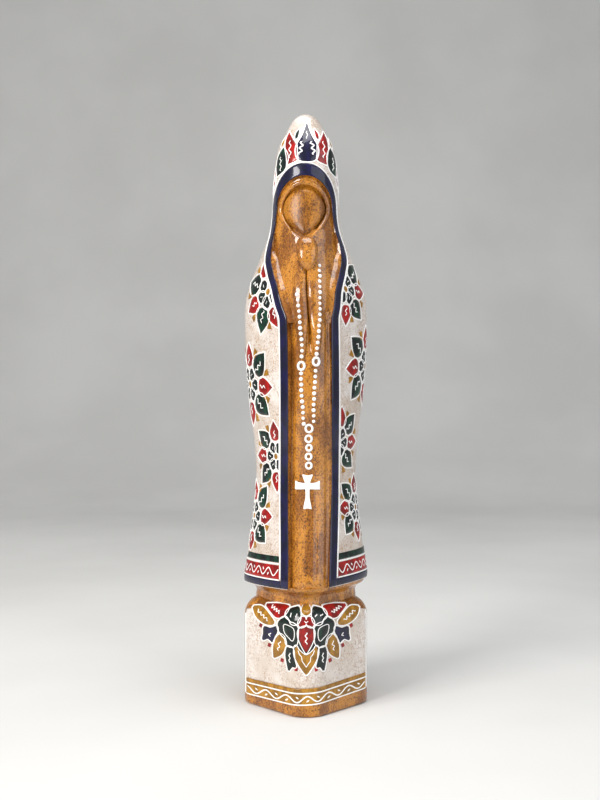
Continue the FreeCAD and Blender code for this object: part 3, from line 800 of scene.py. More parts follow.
# %% Sleeves, forearms, hands
def body_front(x, z):
    """Chest above, gown below, blended where one sinks into the other."""
    share = smooth_step((np.asarray(z, float) - 184) / 14)[..., None]
    return gown_front(x, z) * (1 - share) + chest_front(x, z) * share


def outline_from(points, count=80):
    """A closed smooth outline through a few marked points (x, z), by a periodic cubic."""
    spots = np.asarray(points, float)
    size = len(spots)
    t = np.linspace(0, size, count, endpoint=False)
    i = np.floor(t).astype(int)
    f = (t - i)[:, None]
    a, b, c, d = (spots[(i + k) % size] for k in (-1, 0, 1, 2))
    return 0.5 * (2 * b + (c - a) * f + (2 * a - 5 * b + 4 * c - d) * f ** 2
                  + (3 * b - a - 3 * c + d) * f ** 3)


FOREARM = [(1.0, 219.5), (3.6, 222.2), (6.2, 219.0), (6.7, 206.0), (6.2, 190.0), (5.2, 178.0),
           (3.6, 172.5), (1.9, 177.0), (0.9, 190.0), (0.7, 206.0)]
HANDS = [(0.3, 233.2), (3.4, 232.0), (4.7, 227.2), (4.3, 220.8), (2.5, 216.6), (0.3, 215.2),
         (-2.2, 216.8), (-4.1, 221.2), (-4.6, 227.2), (-3.2, 232.2)]


def shifted(points, side, across=0.0):
    """Marked points mirrored to one side and moved to the middle of the opening."""
    spots = np.array(points, float)
    return np.stack([side * spots[:, 0] + middle(spots[:, 1]) + across, spots[:, 1]], axis=1)


SLEEVE_LOW, SLEEVE_HIGH, SLEEVE_WIDE = 190.5, 233.0, 3.9


def sleeve_facet(side):
    """A bevel strip down the edge of the opening: ruled from the mantle's edge to the chest."""
    z = np.linspace(SLEEVE_LOW, SLEEVE_HIGH, 70)
    taper = np.clip((SLEEVE_HIGH - z) / 10, 0.25, 1) * SLEEVE_WIDE
    rim = middle(z) + side * (opening_half(z) + 0.3)
    outer, inner = mantle_front(rim, z), body_front(rim - side * (taper + 0.3), z)
    outer[:, 1] += 0.5
    inner[:, 1] -= 0.1
    share = np.linspace(0, 1, 9)[None, :, None]
    front = outer[:, None] * (1 - share) + inner[:, None] * share
    front[..., 1] -= 0.35 * np.sin(np.pi * share[..., 0])
    rear = front[:, ::-1].copy()
    rear[..., 1] += 3.0
    return np.concatenate([front, rear], axis=1)


FOREARM_RISE, FOREARM_SQUARE = 3.0, 2.2
arms = {}
for label, side in (("left", -1), ("right", 1)):
    make_piece("sleeve_" + label, [sleeve_facet(side)], WOOD, sharp=50)
    arms[label] = outline_from(shifted(FOREARM, side))
    arm = mound(body_front, arms[label], FOREARM_RISE, 0.5, 12, FOREARM_SQUARE)
    make_piece("forearm_" + label, [arm], WOOD)
joined = outline_from(shifted(HANDS, 1, 0.3))
make_piece("praying_hands", [mound(body_front, joined, 5.9, 0.8, 14, 3.0)], WOOD)

# %% [markdown]
# ## Borders and hem bands
#
# The navy border is one strip that climbs the left edge of the opening, goes over the arch and
# comes down on the right; a white line runs along its outer edge. Three bands go round the hem.

# %% Navy border
# Height and width of the border.
BORDER = np.array([(54, 3.5), (180, 3.5), (200, 3.0), (222, 2.7), (236, 1.7), (250, 2.0)])


def border_paths():
    """Inner and outer path of the border in the front view, from the left hem to the right hem."""
    climb = np.linspace(HEM + 0.3, ARCH_LEVEL, 190)
    inner_left, inner_right = edge_path(-1, climb), edge_path(1, climb[::-1])
    wide = smooth_curve(climb, BORDER)
    over = arch_path(70, 0.0, 0.0)[::-1]
    angle = np.linspace(np.pi, 0, 70)
    swell = 2.0 + 4.2 * np.sin(angle) ** 2.2
    outer = over + np.stack([swell * np.cos(angle), swell * np.sin(angle)], axis=1)
    low = np.concatenate([inner_left, over[1:-1], inner_right])
    high = np.concatenate([inner_left - np.stack([wide, 0 * wide], 1), outer[1:-1],
                           inner_right + np.stack([wide[::-1], 0 * wide], 1)])
    for path in (low, high):
        path[:, 1] += tilt_at(path[:, 0], path[:, 1])
    return low, high


def outward(path, other, amount):
    """The path moved away from another one by an amount."""
    way = path - other
    return path + amount * way / np.linalg.norm(way, axis=1, keepdims=True)


border_in, border_out = border_paths()
inset_in = outward(border_in, border_out, 0.12)
make_piece("navy_border", [band(mantle_front, inset_in, border_out, 0.14)], NAVY)
edge_run = outward(border_out, border_in, 0.35)
over_hem = edge_run[:, 1] > HEM + 4.0 + HEM_TILT * edge_run[:, 0]
make_piece("border_outline", [brush_line(mantle_front, edge_run[over_hem], 0.65, 0.26)], WHITE)


# %% Hem bands
def hem_path(height, count=420, gap=0.8):
    """Once round the mantle from the border's right edge to its left edge, at a height over the hem."""
    z = HEM + height
    reach = opening_half(z) + BORDER[0, 1] + gap
    share = np.linspace(share_at(middle(z) + reach, z), 2 + share_at(middle(z) - reach, z), count)
    return np.stack([share, np.full(count, height)], axis=1)


def hem_surface(share, height):
    """Mantle by share of the half girth and height over the tilted hem."""
    z = HEM + np.asarray(height, float)
    point = mantle_at(bearing_of_share(share, z), z)
    point[..., 2] += HEM_TILT * point[..., 0]
    return point


def hem_band(low, high, rise=0.15, gap=0.8):
    """A band round the hem between two heights over its edge."""
    return band(hem_surface, hem_path(low, gap=gap), hem_path(high, gap=gap), rise)


make_piece("navy_hem", [hem_band(0.3, 3.9, 0.13, -0.3)], NAVY)
make_piece("red_hem_band", [hem_band(4.5, 11.3)], RED)
make_piece("green_hem_band", [hem_band(12.5, 15.6)], GREEN)

# %% [markdown]
# White lines separate the bands, and in the red one a white vine swings up and down with a small
# leaf in every bay. The vine is a sine along the band; each leaf is a short curved stroke.

# %% Lines and vine of the hem
HEM_GIRTH = float(girth_at(HEM + 6))
VINE_PERIOD, VINE_SWING, VINE_MIDDLE = 8.4, 1.75, 7.9


def hem_flat(s, height):
    """The hem by distance along it in mm and height over its edge."""
    return hem_surface(np.asarray(s) / HEM_GIRTH, height)


def along_hem(height, swing=0.0, count=1400):
    """A line along the hem, waved by a sine of the distance."""
    path = hem_path(height, count) * np.array([HEM_GIRTH, 1.0])
    path[:, 1] += swing * np.sin(2 * np.pi * path[:, 0] / VINE_PERIOD)
    return path


BAY = VINE_PERIOD / 2
vine = along_hem(VINE_MIDDLE, VINE_SWING)
hem_marks = [brush_line(hem_flat, path, width, 0.24) for path, width in
             ((along_hem(4.2), 0.75), (along_hem(11.9), 0.8), (vine, 0.85))]
stroke_share = np.linspace(0, 1, 9)
for k in range(int(np.ceil(vine[0, 0] / BAY + 0.5)), int(np.floor(vine[-1, 0] / BAY - 0.5))):
    hang = -1 if k % 2 == 0 else 1
    stroke = np.stack([(k + 0.5) * BAY + 1.6 * (stroke_share - 0.5),
                       VINE_MIDDLE + hang * (2.2 - 2.2 * stroke_share)], axis=1)
    hem_marks.append(brush_line(hem_flat, stroke, 1.1, 0.24))
make_piece("hem_vine", hem_marks, WHITE)

# %% [markdown]
# ## The flowers
#
# One motif serves the whole mantle: an ochre eye, a ring of six small dark petals, four red
# flames, four broad leaves between them and eight ochre tips. It is sketched flat for a radius of
# one, turned and scaled, then wrapped on the wood. Every shape gets a white outline and a white
# zigzag, and a little chance in size and lean keeps the hand of the painter.

# %% Sketching helpers
chance = np.random.default_rng(7)


def disc(x, z, radius, tall=1.0, count=20):
    """A circle round (x, z), or an oval when tall isn't 1."""
    turn = np.linspace(0, 2 * np.pi, count, endpoint=False)
    return np.stack([x + radius * np.cos(turn), z + radius * tall * np.sin(turn)], axis=1)


def straight_sided(corners):
    """A closed outline of 16 even points round a few corners."""
    corners = np.asarray(corners, float)
    return resample(np.concatenate([corners, corners[:1]]), 17)[:-1]


def flat_paint(surface, outline, rise, rings=7):
    """A filled shape of paint: a mound that is flat on top and steep at its edge."""
    return mound(surface, outline, rise, 0.2, rings, 8.0)


def petal(start, end, half, blunt=0.5, sharp=0.9, bend=0.0, count=36):
    """Outline along +x: half width goes like a^blunt (1-a)^sharp, and bend pushes the tip aside."""
    a = (1 - np.cos(np.linspace(0, np.pi, count // 2 + 1))) / 2
    width = a ** blunt * (1 - a) ** sharp
    width = half * width / width.max()
    x = start + (end - start) * a
    drift = bend * a ** 2
    upper = np.stack([x, drift + width], axis=1)
    lower = np.stack([x, drift - width], axis=1)[::-1]
    return np.concatenate([lower[:-1], upper[:-1]])


def turned(points, angle, scale=1.0, centre=(0.0, 0.0)):
    """Points turned by an angle in degrees, scaled and moved."""
    a = np.radians(angle)
    matrix = np.array([[np.cos(a), np.sin(a)], [-np.sin(a), np.cos(a)]])
    return scale * points @ matrix + np.asarray(centre)


def grown(outline, amount):
    """A closed outline pushed outwards by an amount along its own normals."""
    way = np.roll(outline, -1, axis=0) - np.roll(outline, 1, axis=0)
    area = np.sum(outline[:, 0] * np.roll(outline[:, 1], -1)
                  - outline[:, 1] * np.roll(outline[:, 0], -1))
    out = np.sign(area) * np.stack([way[:, 1], -way[:, 0]], axis=1)
    return outline + amount * out / np.maximum(np.linalg.norm(out, axis=1, keepdims=True), 1e-6)


def zigzag(start, end, swing, teeth, count=26):
    """A scribble along +x: a triangle wave with softened corners."""
    t = np.linspace(0, 1, count)
    wave = 2 / np.pi * np.arcsin(np.sin(2 * np.pi * teeth * t) * 0.96)
    return np.stack([start + (end - start) * t, swing * wave], axis=1)


# %% The motif
TIP = [(0.76, -0.04), (1.02, -0.11), (1.05, 0.09), (0.80, 0.06)]


def flower_shapes():
    """Coloured outlines and scribbles of the motif for radius 1: (colour, outline, scribble)."""
    shapes = [("ochre", disc(0, 0, 0.095, count=24), None)]
    for k in range(6):
        shapes.append(("dark", turned(petal(0.12, 0.47, 0.158, 0.45, 0.42, 0.0, 24), 60 * k),
                       turned(zigzag(0.24, 0.35, 0.022, 1.0, 12), 60 * k)))
    for k in range(4):
        shapes.append(("red", turned(petal(0.47, 1.12, 0.25, 0.5, 1.1, 0.02), 90 * k),
                       turned(zigzag(0.55, 0.82, 0.045, 1.8), 90 * k)))
        shapes.append(("leaf", turned(petal(0.44, 1.20, 0.31, 0.6, 1.15, 0.08), 90 * k + 45),
                       turned(zigzag(0.52, 0.90, 0.055, 2.3), 90 * k + 45)))
        for lean in (-1, 1):
            shapes.append(("tip", turned(straight_sided(TIP), 90 * k + 45 + lean * 23.5), None))
    return shapes


MOTIF = flower_shapes()
print("shapes in one flower:", len(MOTIF))

# %% Where the flowers go
# Flowers in front, as seen: across, height, radius, lean (mm, degrees).
FRONT_FLOWERS = [(-18.8, 206.5, 18.0, -24), (-28.3, 161.0, 19.5, 4), (-14.9, 125.0, 16.0, 0),
                 (-26.3, 94.0, 16.2, -3), (19.6, 208.0, 17.0, 4), (30.2, 170.5, 19.0, -3),
                 (16.2, 132.0, 16.0, 2), (25.2, 98.5, 15.5, 4)]
# Flowers round the sides and back: share of the half girth, height, radius.
BACK_FLOWERS = [(0.84, 212, 14.0), (0.86, 173, 14.0), (0.82, 134, 13.5), (0.84, 97, 13.0),
                (-0.84, 192, 14.0), (-0.86, 153, 14.0), (-0.84, 115, 13.5), (-0.86, 231, 10.5)]
print("flowers:", len(FRONT_FLOWERS) + len(BACK_FLOWERS))


def flower_places():
    """Every flower as a share of the half girth, height, radius and lean."""
    for x, z, radius, lean in FRONT_FLOWERS:
        yield share_at(x, z), z, radius, lean
    for share, z, radius in BACK_FLOWERS:
        yield share, z, radius, float(chance.uniform(-12, 12))


BORDER_CLEAR = 0.9
BANDS_TOP = 16.6           # the hem bands end this far over the hem


def off_border(surface, outline):
    """Which points of an outline stay outside the border and over the hem bands."""
    point = surface(outline[:, 0], outline[:, 1])
    x, y, z = point[:, 0], point[:, 1], point[:, 2]
    wide = opening_half(z) + smooth_curve(z, BORDER) + BORDER_CLEAR
    inside = (np.abs(x - middle(z)) < wide) & (y < 3) & (z < ARCH_LEVEL + ARCH_RISE + 7)
    low = z < HEM + HEM_TILT * x + BANDS_TOP
    return ~(inside | low)


def squeezed(surface, outline):
    """The outline cut by the border: points that fall over it are moved back along the sketch."""
    good = off_border(surface, outline)
    if good.all():
        return outline
    if good.sum() < len(outline) * 0.3:
        return None
    centre = outline[good].mean(axis=0)
    low, high = np.zeros(len(outline)), np.ones(len(outline))
    for _ in range(9):
        mid = (low + high) / 2
        trial = off_border(surface, centre + mid[:, None] * (outline - centre))
        low, high = np.where(trial, mid, low), np.where(trial, high, mid)
    reach = np.where(good, 1.0, low)
    return centre + reach[:, None] * (outline - centre)


# %% Paint the flowers
fills = {"ochre": [], "dark": [], "red": [], "leaf": [], "tip": []}
outlines, scribbles = [], []
LINE, THIN_MARK, MARK = 0.62, 0.4, 0.66
for share, z, radius, lean in flower_places():
    wrap = mantle_wrap(share, z)
    size = radius * float(chance.uniform(0.97, 1.03))
    for colour, outline, scribble in MOTIF:
        wobble = float(chance.uniform(-2, 2))
        shape = squeezed(wrap, turned(outline, -lean + wobble, size))
        if shape is None:
            continue
        fills[colour].append(flat_paint(wrap, shape, 0.17, 3))
        if colour != "tip":
            outlines.append(brush_line(wrap, grown(shape, 0.28), LINE, 0.26, closed=True))
        if scribble is not None:
            stroke = turned(scribble, -lean + wobble, size)
            if off_border(wrap, stroke).all():
                width = THIN_MARK if colour == "dark" else MARK
                scribbles.append(brush_line(wrap, stroke, width, 0.32))

make_piece("flower_red_petals", fills["red"], RED)
make_piece("flower_leaves", fills["leaf"], GREEN)
make_piece("flower_small_petals", fills["dark"], DARK)
make_piece("flower_eyes", fills["ochre"] + fills["tip"], OCHRE)
make_piece("flower_outlines", [], WHITE, loops=outlines)
make_piece("flower_scribbles", scribbles, WHITE)

# %% [markdown]
# ## Crown of petals on the hood
#
# A lotus crown rises from the arch: a dark flame in the middle, then red, green and ochre petals on
# each side, smaller towards the ears. Each is a closed curve through a few marked points in the
# front view (a point given twice makes a sharp tip), mirrored for the other side.

# %% Shapes of the crown
def both_sides(half):
    """Marked points that end on the middle line, then their mirror images in reverse."""
    return half + [(-x, z) for x, z in half[::-1] if x]


CROWN_MIDDLE = 0.5
FLAME = both_sides([(0, 293.5), (0, 293.5), (-2.0, 286.5), (-4.8, 281.0), (-5.6, 276.8),
                    (-4.2, 272.6), (0, 271.4)])
CROWN_RED = [(-4.4, 9.8), (-4.4, 9.8), (-4.6, 4.8), (-3.9, 0.6), (-2.2, -4.2), (-1.4, -9.0),
             (-1.4, -9.0), (4.0, -7.4), (3.9, -3.8), (3.0, 1.0), (-0.4, 5.6)]
CROWN_GREEN = [(0.2, 7.8), (0.2, 7.8), (-4.6, 3.6), (-6.2, -1.6), (-4.0, -6.8), (-4.0, -6.8),
               (2.8, -5.0), (5.0, -0.6), (4.2, 3.8)]
CROWN_TIP = [(0.0, 2.8), (0.0, 2.8), (-1.4, -0.6), (-0.4, -2.4), (1.3, -0.6)]
SIDE_RED = [(0.0, 5.0), (0.0, 5.0), (-1.6, 1.5), (-1.3, -3.4), (0.4, -5.0), (1.5, -2.4), (1.4, 1.6)]
SIDE_OCHRE = [(0.0, 4.4), (0.0, 4.4), (-1.4, 0.6), (-1.0, -3.4), (0.9, -3.8), (1.4, 0.4)]
SLIVER = [(1.0, 3.0), (1.0, 3.0), (-0.9, 0.4), (-1.3, -2.8), (-0.1, -2.4), (0.7, 0.4)]


def mirrored(points, side, axis=0.0):
    """Marked points on their own side (-1) or mirrored about an axis (+1)."""
    spots = np.asarray(points, float)
    return np.stack([axis - side * spots[:, 0], spots[:, 1]], axis=1)


def scribble_on(surface, start, end, swing, teeth, width=0.6, rise=0.42, count=30):
    """A zigzag brush line between two points of a surface."""
    start, end = np.asarray(start, float), np.asarray(end, float)
    way = end - start
    length = np.hypot(*way)
    flat = zigzag(0.0, length, swing, teeth, count)
    path = start + flat[:, :1] * way / length + flat[:, 1:] * np.array([-way[1], way[0]]) / length
    return brush_line(surface, path, width, rise)


# %% Paint the crown
crown_fill = {"flame": [], "red": [], "green": [], "ochre": []}
crown_loops, crown_marks_and_highlights = [], []


def crown_petal(kind, points, count=64, surface=mantle_front, rise=0.20, rings=5):
    """One petal of a colour and its white outline."""
    outline = outline_from(points, count)
    crown_fill[kind].append(flat_paint(surface, outline, rise, rings))
    crown_loops.append(brush_line(surface, grown(outline, 0.3), 0.75, 0.30, closed=True))


crown_petal("flame", mirrored(FLAME, 1, CROWN_MIDDLE), rise=0.22, rings=7)
# The two broad white zigzags on the flame and the short one down its middle are partly its white brush
# marks and partly painted highlight: they are drawn broad to stand for the glint of the light on the
# glossy navy.
crown_marks_and_highlights += [scribble_on(mantle_front, (CROWN_MIDDLE + 3.6 * side, 275.0),
                            (CROWN_MIDDLE + 2.3 * side, 282.5), 1.0, 2.6, 0.95)
                for side in (-1, 1)]
crown_marks_and_highlights.append(scribble_on(mantle_front, (CROWN_MIDDLE, 283.4), (CROWN_MIDDLE, 288.6), 0.4, 1.6))
for side in (-1, 1):
    crown_petal("green" if side < 0 else "red",
                mirrored(np.array(SLIVER) + [-4.6, 286.9], side, CROWN_MIDDLE), 24)
    for kind, points, x, z in (("red", CROWN_RED, 8.1, 279.6), ("green", CROWN_GREEN, 12.9, 272.8),
                               ("ochre", CROWN_TIP, 11.9, 283.2)):
        spot = side * x + CROWN_MIDDLE
        wrap = mantle_wrap(share_at(spot, z), z)
        crown_petal(kind, mirrored(points, side), 64, wrap)
        if kind != "ochre":
            tall = 0.52 * np.ptp(np.array(points)[:, 1])
            crown_marks_and_highlights.append(scribble_on(wrap, (-0.3 * side, -0.6 * tall), (0.9 * side, 0.4 * tall),
                                           0.8, 2.6))
    # Round the side of the head the petals go on, lower and smaller: share of girth, height.
    for kind, points, place, height, tall in (("red", SIDE_RED, 0.42, 266.0, 1.0),
                                              ("ochre", SIDE_OCHRE, 0.50, 261.0, 0.9),
                                              ("green", SIDE_RED, 0.58, 257.0, 0.9)):
        wrap = mantle_wrap(side * place, height)
        crown_petal(kind, mirrored(np.array(points) * tall, side), 40, wrap)
        crown_marks_and_highlights.append(scribble_on(wrap, (0, -2.2), (0, 2.2), 0.4, 1.4, 0.5))
make_piece("crown_flame", crown_fill["flame"], NAVY)
make_piece("crown_red_petals", crown_fill["red"], RED)
make_piece("crown_green_petals", crown_fill["green"], GREEN)
make_piece("crown_ochre_tips", crown_fill["ochre"], OCHRE)
# The crown's white lines also carry the painted highlight on the flame.
make_piece("crown_outlines", crown_marks_and_highlights, WHITE, loops=crown_loops)

# %% [markdown]
# ## Paint on the plinth
#
# The white panel covers the plinth's two front faces up to the shoulder, where its top edge bows
# up over the corner. Under it run an ochre stripe, a white line and an ochre band with a white
# vine, all tilted a little as the painter left them. Half a lotus hangs from the top of the panel.

# %% Panel and foot band
PANEL_HALF, BAND_TILT = 30.4, 0.045
across_panel = np.linspace(-PANEL_HALF, PANEL_HALF, 150)


def tilted(level, x=across_panel, swing=0.0):
    """A level line across the plinth, tilted, with an optional wave of the height."""
    return np.stack([x, level + BAND_TILT * x + swing], axis=1)


panel_top = np.stack([across_panel, 53.0 - 5.6 * np.abs(across_panel / PANEL_HALF) ** 1.9], axis=1)
make_piece("plinth_panel", [band(plinth_front, tilted(14.3), panel_top, 0.12, 0.25, 60)], GROUND)
make_piece("plinth_foot_band", [band(plinth_front, tilted(6.6), tilted(11.4), 0.10),
                                band(plinth_front, tilted(12.3), tilted(14.1), 0.11, 0.25, 5)], OCHRE)

# %% Vine of the foot band
FOOT_PERIOD, FOOT_PHASE, FOOT_MIDDLE = 10.2, 1.2, 9.0


def foot_wave(x):
    """The sine that the vine follows, between -1 and 1."""
    return np.sin(2 * np.pi * x / FOOT_PERIOD + FOOT_PHASE)


vine_x = np.linspace(-PANEL_HALF + 0.6, PANEL_HALF - 0.6, 260)
foot_marks = [brush_line(plinth_front, path, width, rise) for path, width, rise in
              ((tilted(6.4), 0.75, 0.26), (tilted(11.9), 0.75, 0.26),
               (tilted(FOOT_MIDDLE, vine_x, 1.45 * foot_wave(vine_x)), 0.8, 0.24))]
for k in range(11):
    spot = (k - 5.25) * FOOT_PERIOD / 2 + 2.05
    hang = 1 if foot_wave(spot) < 0 else -1
    leaf_x = spot + 1.7 * (stroke_share - 0.5)
    if np.abs(leaf_x).max() < PANEL_HALF - 0.5:
        leaf = tilted(FOOT_MIDDLE, leaf_x, hang * (1.3 - 1.1 * stroke_share))
        foot_marks.append(brush_line(plinth_front, leaf, 1.05, 0.26))
for edge in (-PANEL_HALF, PANEL_HALF):
    upright = np.clip(np.linspace(6.2, 47.0, 60) + BAND_TILT * edge, 0, 47.4)
    path = np.stack([np.full(60, edge), upright], axis=1)
    foot_marks.append(brush_line(plinth_front, path, 0.7, 0.26))
make_piece("plinth_vine", foot_marks, WHITE)

# %% [markdown]
# The half lotus: every petal is again a closed curve through marked points, left half given and
# mirrored. Petals that overlap are painted at slightly different heights, as layers of paint are.

# %% Shapes of the half lotus
SEED_CUP = both_sides([(-2.9, 52.9), (-2.9, 52.9), (-2.3, 50.6), (0, 49.5)])
DARK_LOBE = [(-10.3, 50.8), (-10.2, 48.2), (-8.0, 46.8), (-6.8, 45.2), (-4.6, 45.4), (-3.4, 47.4),
             (-3.6, 50.0), (-5.0, 51.9), (-7.8, 52.3)]
DOUBLE_LOBE = [(-3.5, 45.8), (-2.6, 47.8), (-1.1, 48.2), (0, 47.2), (1.1, 48.2), (2.6, 47.8),
               (3.5, 45.8), (2.8, 44.2), (1.3, 44.4), (0, 45.6), (-1.3, 44.4), (-2.8, 44.2)]
RED_DROP = both_sides([(0, 31.6), (0, 31.6), (-2.3, 35.8), (-3.5, 39.3), (-3.4, 42.0),
                       (-1.8, 43.5), (0, 43.9)])
GREEN_LOBE = [(-12.0, 46.4), (-10.2, 47.2), (-8.2, 45.4), (-5.8, 44.8), (-4.4, 43.2), (-4.4, 39.6),
              (-4.8, 35.8), (-6.8, 34.3), (-9.1, 34.7), (-9.8, 37.2), (-11.8, 39.0), (-13.2, 41.0),
              (-13.5, 44.0)]
GREEN_HEART = [(-10.6, 43.6), (-8.6, 43.8), (-6.2, 42.6), (-5.8, 39.4), (-6.6, 37.0), (-8.2, 38.2),
               (-10.2, 40.2)]
OCHRE_DROP = both_sides([(0, 21.0), (0, 21.0), (-2.4, 24.2), (-4.3, 27.4), (-5.4, 31.0),
                         (-5.0, 34.4), (-3.6, 32.4), (0, 30.0)])
SCALLOP = both_sides([(-4.0, 33.0), (-3.3, 30.8), (-2.2, 29.6), (-1.9, 27.4), (-0.7, 25.8),
                      (0, 24.6)])
BLACK_PETAL = [(-9.0, 33.2), (-9.7, 29.4), (-9.1, 25.4), (-8.4, 22.1), (-8.4, 22.1), (-6.8, 24.4),
               (-5.2, 24.6), (-6.0, 28.4), (-6.6, 32.8)]
OCHRE_LEAF = [(-12.7, 38.4), (-10.8, 37.8), (-10.0, 35.0), (-10.8, 31.8), (-12.4, 29.0),
              (-15.7, 26.6), (-15.7, 26.6), (-15.9, 30.6), (-15.1, 35.0)]
NAVY_FAN = [(-20.6, 40.6), (-21.0, 37.2), (-21.4, 34.2), (-18.8, 35.4), (-16.4, 33.9), (-16.4, 33.9),
            (-15.6, 37.1), (-14.4, 39.4), (-14.3, 42.0), (-17.4, 40.6)]
RED_WING = [(-21.8, 51.2), (-21.8, 51.2), (-17.2, 52.0), (-13.0, 52.2), (-11.2, 51.6), (-10.9, 49.6),
            (-12.4, 47.3), (-14.9, 46.8), (-17.2, 48.2), (-19.4, 49.6)]
OCHRE_WING = [(-27.4, 49.2), (-27.4, 49.2), (-24.0, 49.8), (-20.6, 48.4), (-17.4, 46.0),
              (-15.7, 44.2), (-16.7, 42.7), (-20.0, 42.4), (-23.4, 43.8), (-25.6, 46.0)]
NIGHT_BED = both_sides([(0, 52.7), (-5, 52.4), (-9.6, 51.2), (-11.4, 48.0), (-13.4, 44.0),
                        (-12.6, 39.6), (-10.2, 36.4), (-8.0, 34.2), (-6.6, 31.0), (-5.4, 27.6),
                        (-3.0, 23.6), (0, 20.4)])
TIPS = [(-22.4, 41.0), (-18.0, 32.2), (-11.6, 26.4), (-4.8, 23.4)]
RED_SQUARE = np.array([(-0.8, -1.1), (0.9, -1.0), (0.8, 1.1), (-0.9, 1.0)])
# Scribbles on the left petals: start, end, swing, teeth.
LOTUS_MARKS = [((-8.9, 49.6), (-7.4, 48.0), 0.5, 1.0), ((-5.6, 49.8), (-4.9, 48.0), 0.5, 1.0),
               ((-7.9, 31.2), (-7.9, 25.8), 0.35, 2.4), ((-12.6, 35.8), (-13.6, 30.4), 0.6, 2.2),
               ((-17.6, 38.6), (-18.0, 36.4), 0.6, 1.4), ((-19.2, 51.0), (-13.4, 48.8), 0.75, 4.0),
               ((-25.0, 48.2), (-18.4, 44.2), 0.75, 4.0)]
# Colour, outline, and on how many sides it is painted.
LOTUS = [("dark", DARK_LOBE, 2), ("dark", GREEN_LOBE, 2), ("dark", BLACK_PETAL, 2),
         ("ochre", OCHRE_LEAF, 2), ("navy", NAVY_FAN, 2), ("red", RED_WING, 2),
         ("ochre", OCHRE_WING, 2), ("ochre", SEED_CUP, 1), ("red", DOUBLE_LOBE, 1),
         ("ochre", OCHRE_DROP, 1), ("red", RED_DROP, 1)]
print("petals of the half lotus:", sum(sides for _, _, sides in LOTUS))

# %% Paint the half lotus
lotus = {"red": [], "dark": [], "navy": [], "green": [], "ochre": []}
lotus_loops, lotus_marks = [], []
lotus["dark"].append(flat_paint(plinth_front, outline_from(NIGHT_BED, 120), 0.19))
for kind, points, sides in LOTUS:
    for side in (-1, 1)[:sides]:
        outline = grown(outline_from(mirrored(points, side), 72), 0.42)
        lotus[kind].append(flat_paint(plinth_front, outline, 0.26))
        lotus_loops.append(brush_line(plinth_front, grown(outline, 0.22), 0.58, 0.36, closed=True))
for side in (-1, 1):
    for x, z in mirrored(TIPS, side):
        square = straight_sided(turned(RED_SQUARE, 0.9 * x, 1.0, (x, z)))
        lotus["red"].append(flat_paint(plinth_front, square, 0.24, 3))
    for start, end, swing, teeth in LOTUS_MARKS:
        lotus_marks.append(scribble_on(plinth_front, *mirrored([start, end], side), swing, teeth))
    heart = outline_from(mirrored(GREEN_HEART, side), 60)
    lotus["green"].append(mound(plinth_front, heart, 0.32, 0.1, 5, 8.0))
    lotus_loops.append(brush_line(plinth_front, grown(heart, 0.2), 0.55, 0.4, closed=True))
lotus_marks += [scribble_on(plinth_front, (0, 41.6), (0, 35.2), 0.55, 2.5, 0.75),
                scribble_on(plinth_front, (-1.2, 46.2), (1.2, 46.2), 0.4, 1.5, 0.5),
                brush_line(plinth_front, resample(np.array(SCALLOP), 60), 0.6, 0.36)]
for label, kind, paint in (("red", "red", RED), ("dark", "navy", NAVY), ("night", "dark", DARK),
                           ("green", "green", GREEN), ("ochre", "ochre", OCHRE)):
    make_piece("medallion_" + label, lotus[kind], paint)
make_piece("medallion_outlines", lotus_marks, WHITE, loops=lotus_loops)

# %% [markdown]
# ## The painted rosary
#
# It isn't strung: every bead is a thick drop of white paint on the gown, every large bead a ring,
# and the cross is painted too. Beads sit at even steps along two gently wavy lines.

# %% Where the beads go
# Height and place across of each strand, then of the rings under it with their radius.
STRANDS = {"left": [(141.4, -1.2), (152, -1.9), (165, -2.5), (178, -2.1), (190, -3.0), (204, -4.5)],
           "right": [(142.6, 3.6), (154, 3.8), (168, 4.6), (180, 5.4), (190, 6.4), (204, 6.6),
                     (220, 6.3)]}
BEAD_STEP, BEAD_RADIUS, RING_WIDTH = 2.72, 0.98, 1.25
LARGE = {"left": 169.5, "right": 171.6}
PENDANT = [(1.4, 139.1, 1.65), (1.2, 134.1, 1.5), (1.4, 129.7, 1.3), (1.2, 125.4, 1.35),
           (1.3, 121.0, 1.35)]
CROSS_CENTRE = np.array([0.7, 111.3])
RING_CLEAR = 3.4           # no small bead this near a large one
CROSS = [(-1.3, 1.4), (-1.5, 3.6), (-2.6, 5.4), (0.0, 5.0), (2.6, 5.4), (1.5, 3.6), (1.3, 1.4),
         (4.2, 1.5), (6.0, 2.2), (6.1, 0.0), (6.0, -2.0), (4.2, -1.4), (1.3, -1.4), (1.1, -7.4),
         (1.5, -9.4), (2.0, -11.5), (0.0, -11.3), (-2.0, -11.5), (-1.5, -9.4), (-1.1, -7.4),
         (-1.3, -1.4), (-4.2, -1.4), (-6.0, -2.0), (-6.1, 0.0), (-6.0, 2.2), (-4.2, 1.5)]


# %% What the beads lie on
def gown_relief(x, z):
    """The gown with the forearms on it: how far a point is towards an arm's outline gives the rise."""
    point = body_front(x, z)
    for outline in arms.values():
        centre = outline.mean(axis=0)
        spoke = outline - centre
        turn = np.arctan2(spoke[:, 1], spoke[:, 0])
        order = np.argsort(turn)
        off = np.stack([point[..., 0], point[..., 2]], axis=-1) - centre
        reach = np.interp(np.arctan2(off[..., 1], off[..., 0]), turn[order],
                          np.linalg.norm(spoke, axis=1)[order], period=2 * np.pi)
        share = np.clip(np.linalg.norm(off, axis=-1) / reach, 0, 1)
        point[..., 1] -= FOREARM_RISE * np.sqrt(1 - share ** FOREARM_SQUARE)
    return point


def bead_bed(x, z):
    """The foremost of three neighbouring points, so that a bead beside a ridge isn't swallowed."""
    point = gown_relief(x, z)
    for step in (-0.8, 0.8):
        beside = gown_relief(np.asarray(x) + step, z)[..., 1]
        point[..., 1] = np.minimum(point[..., 1], beside)
    return point


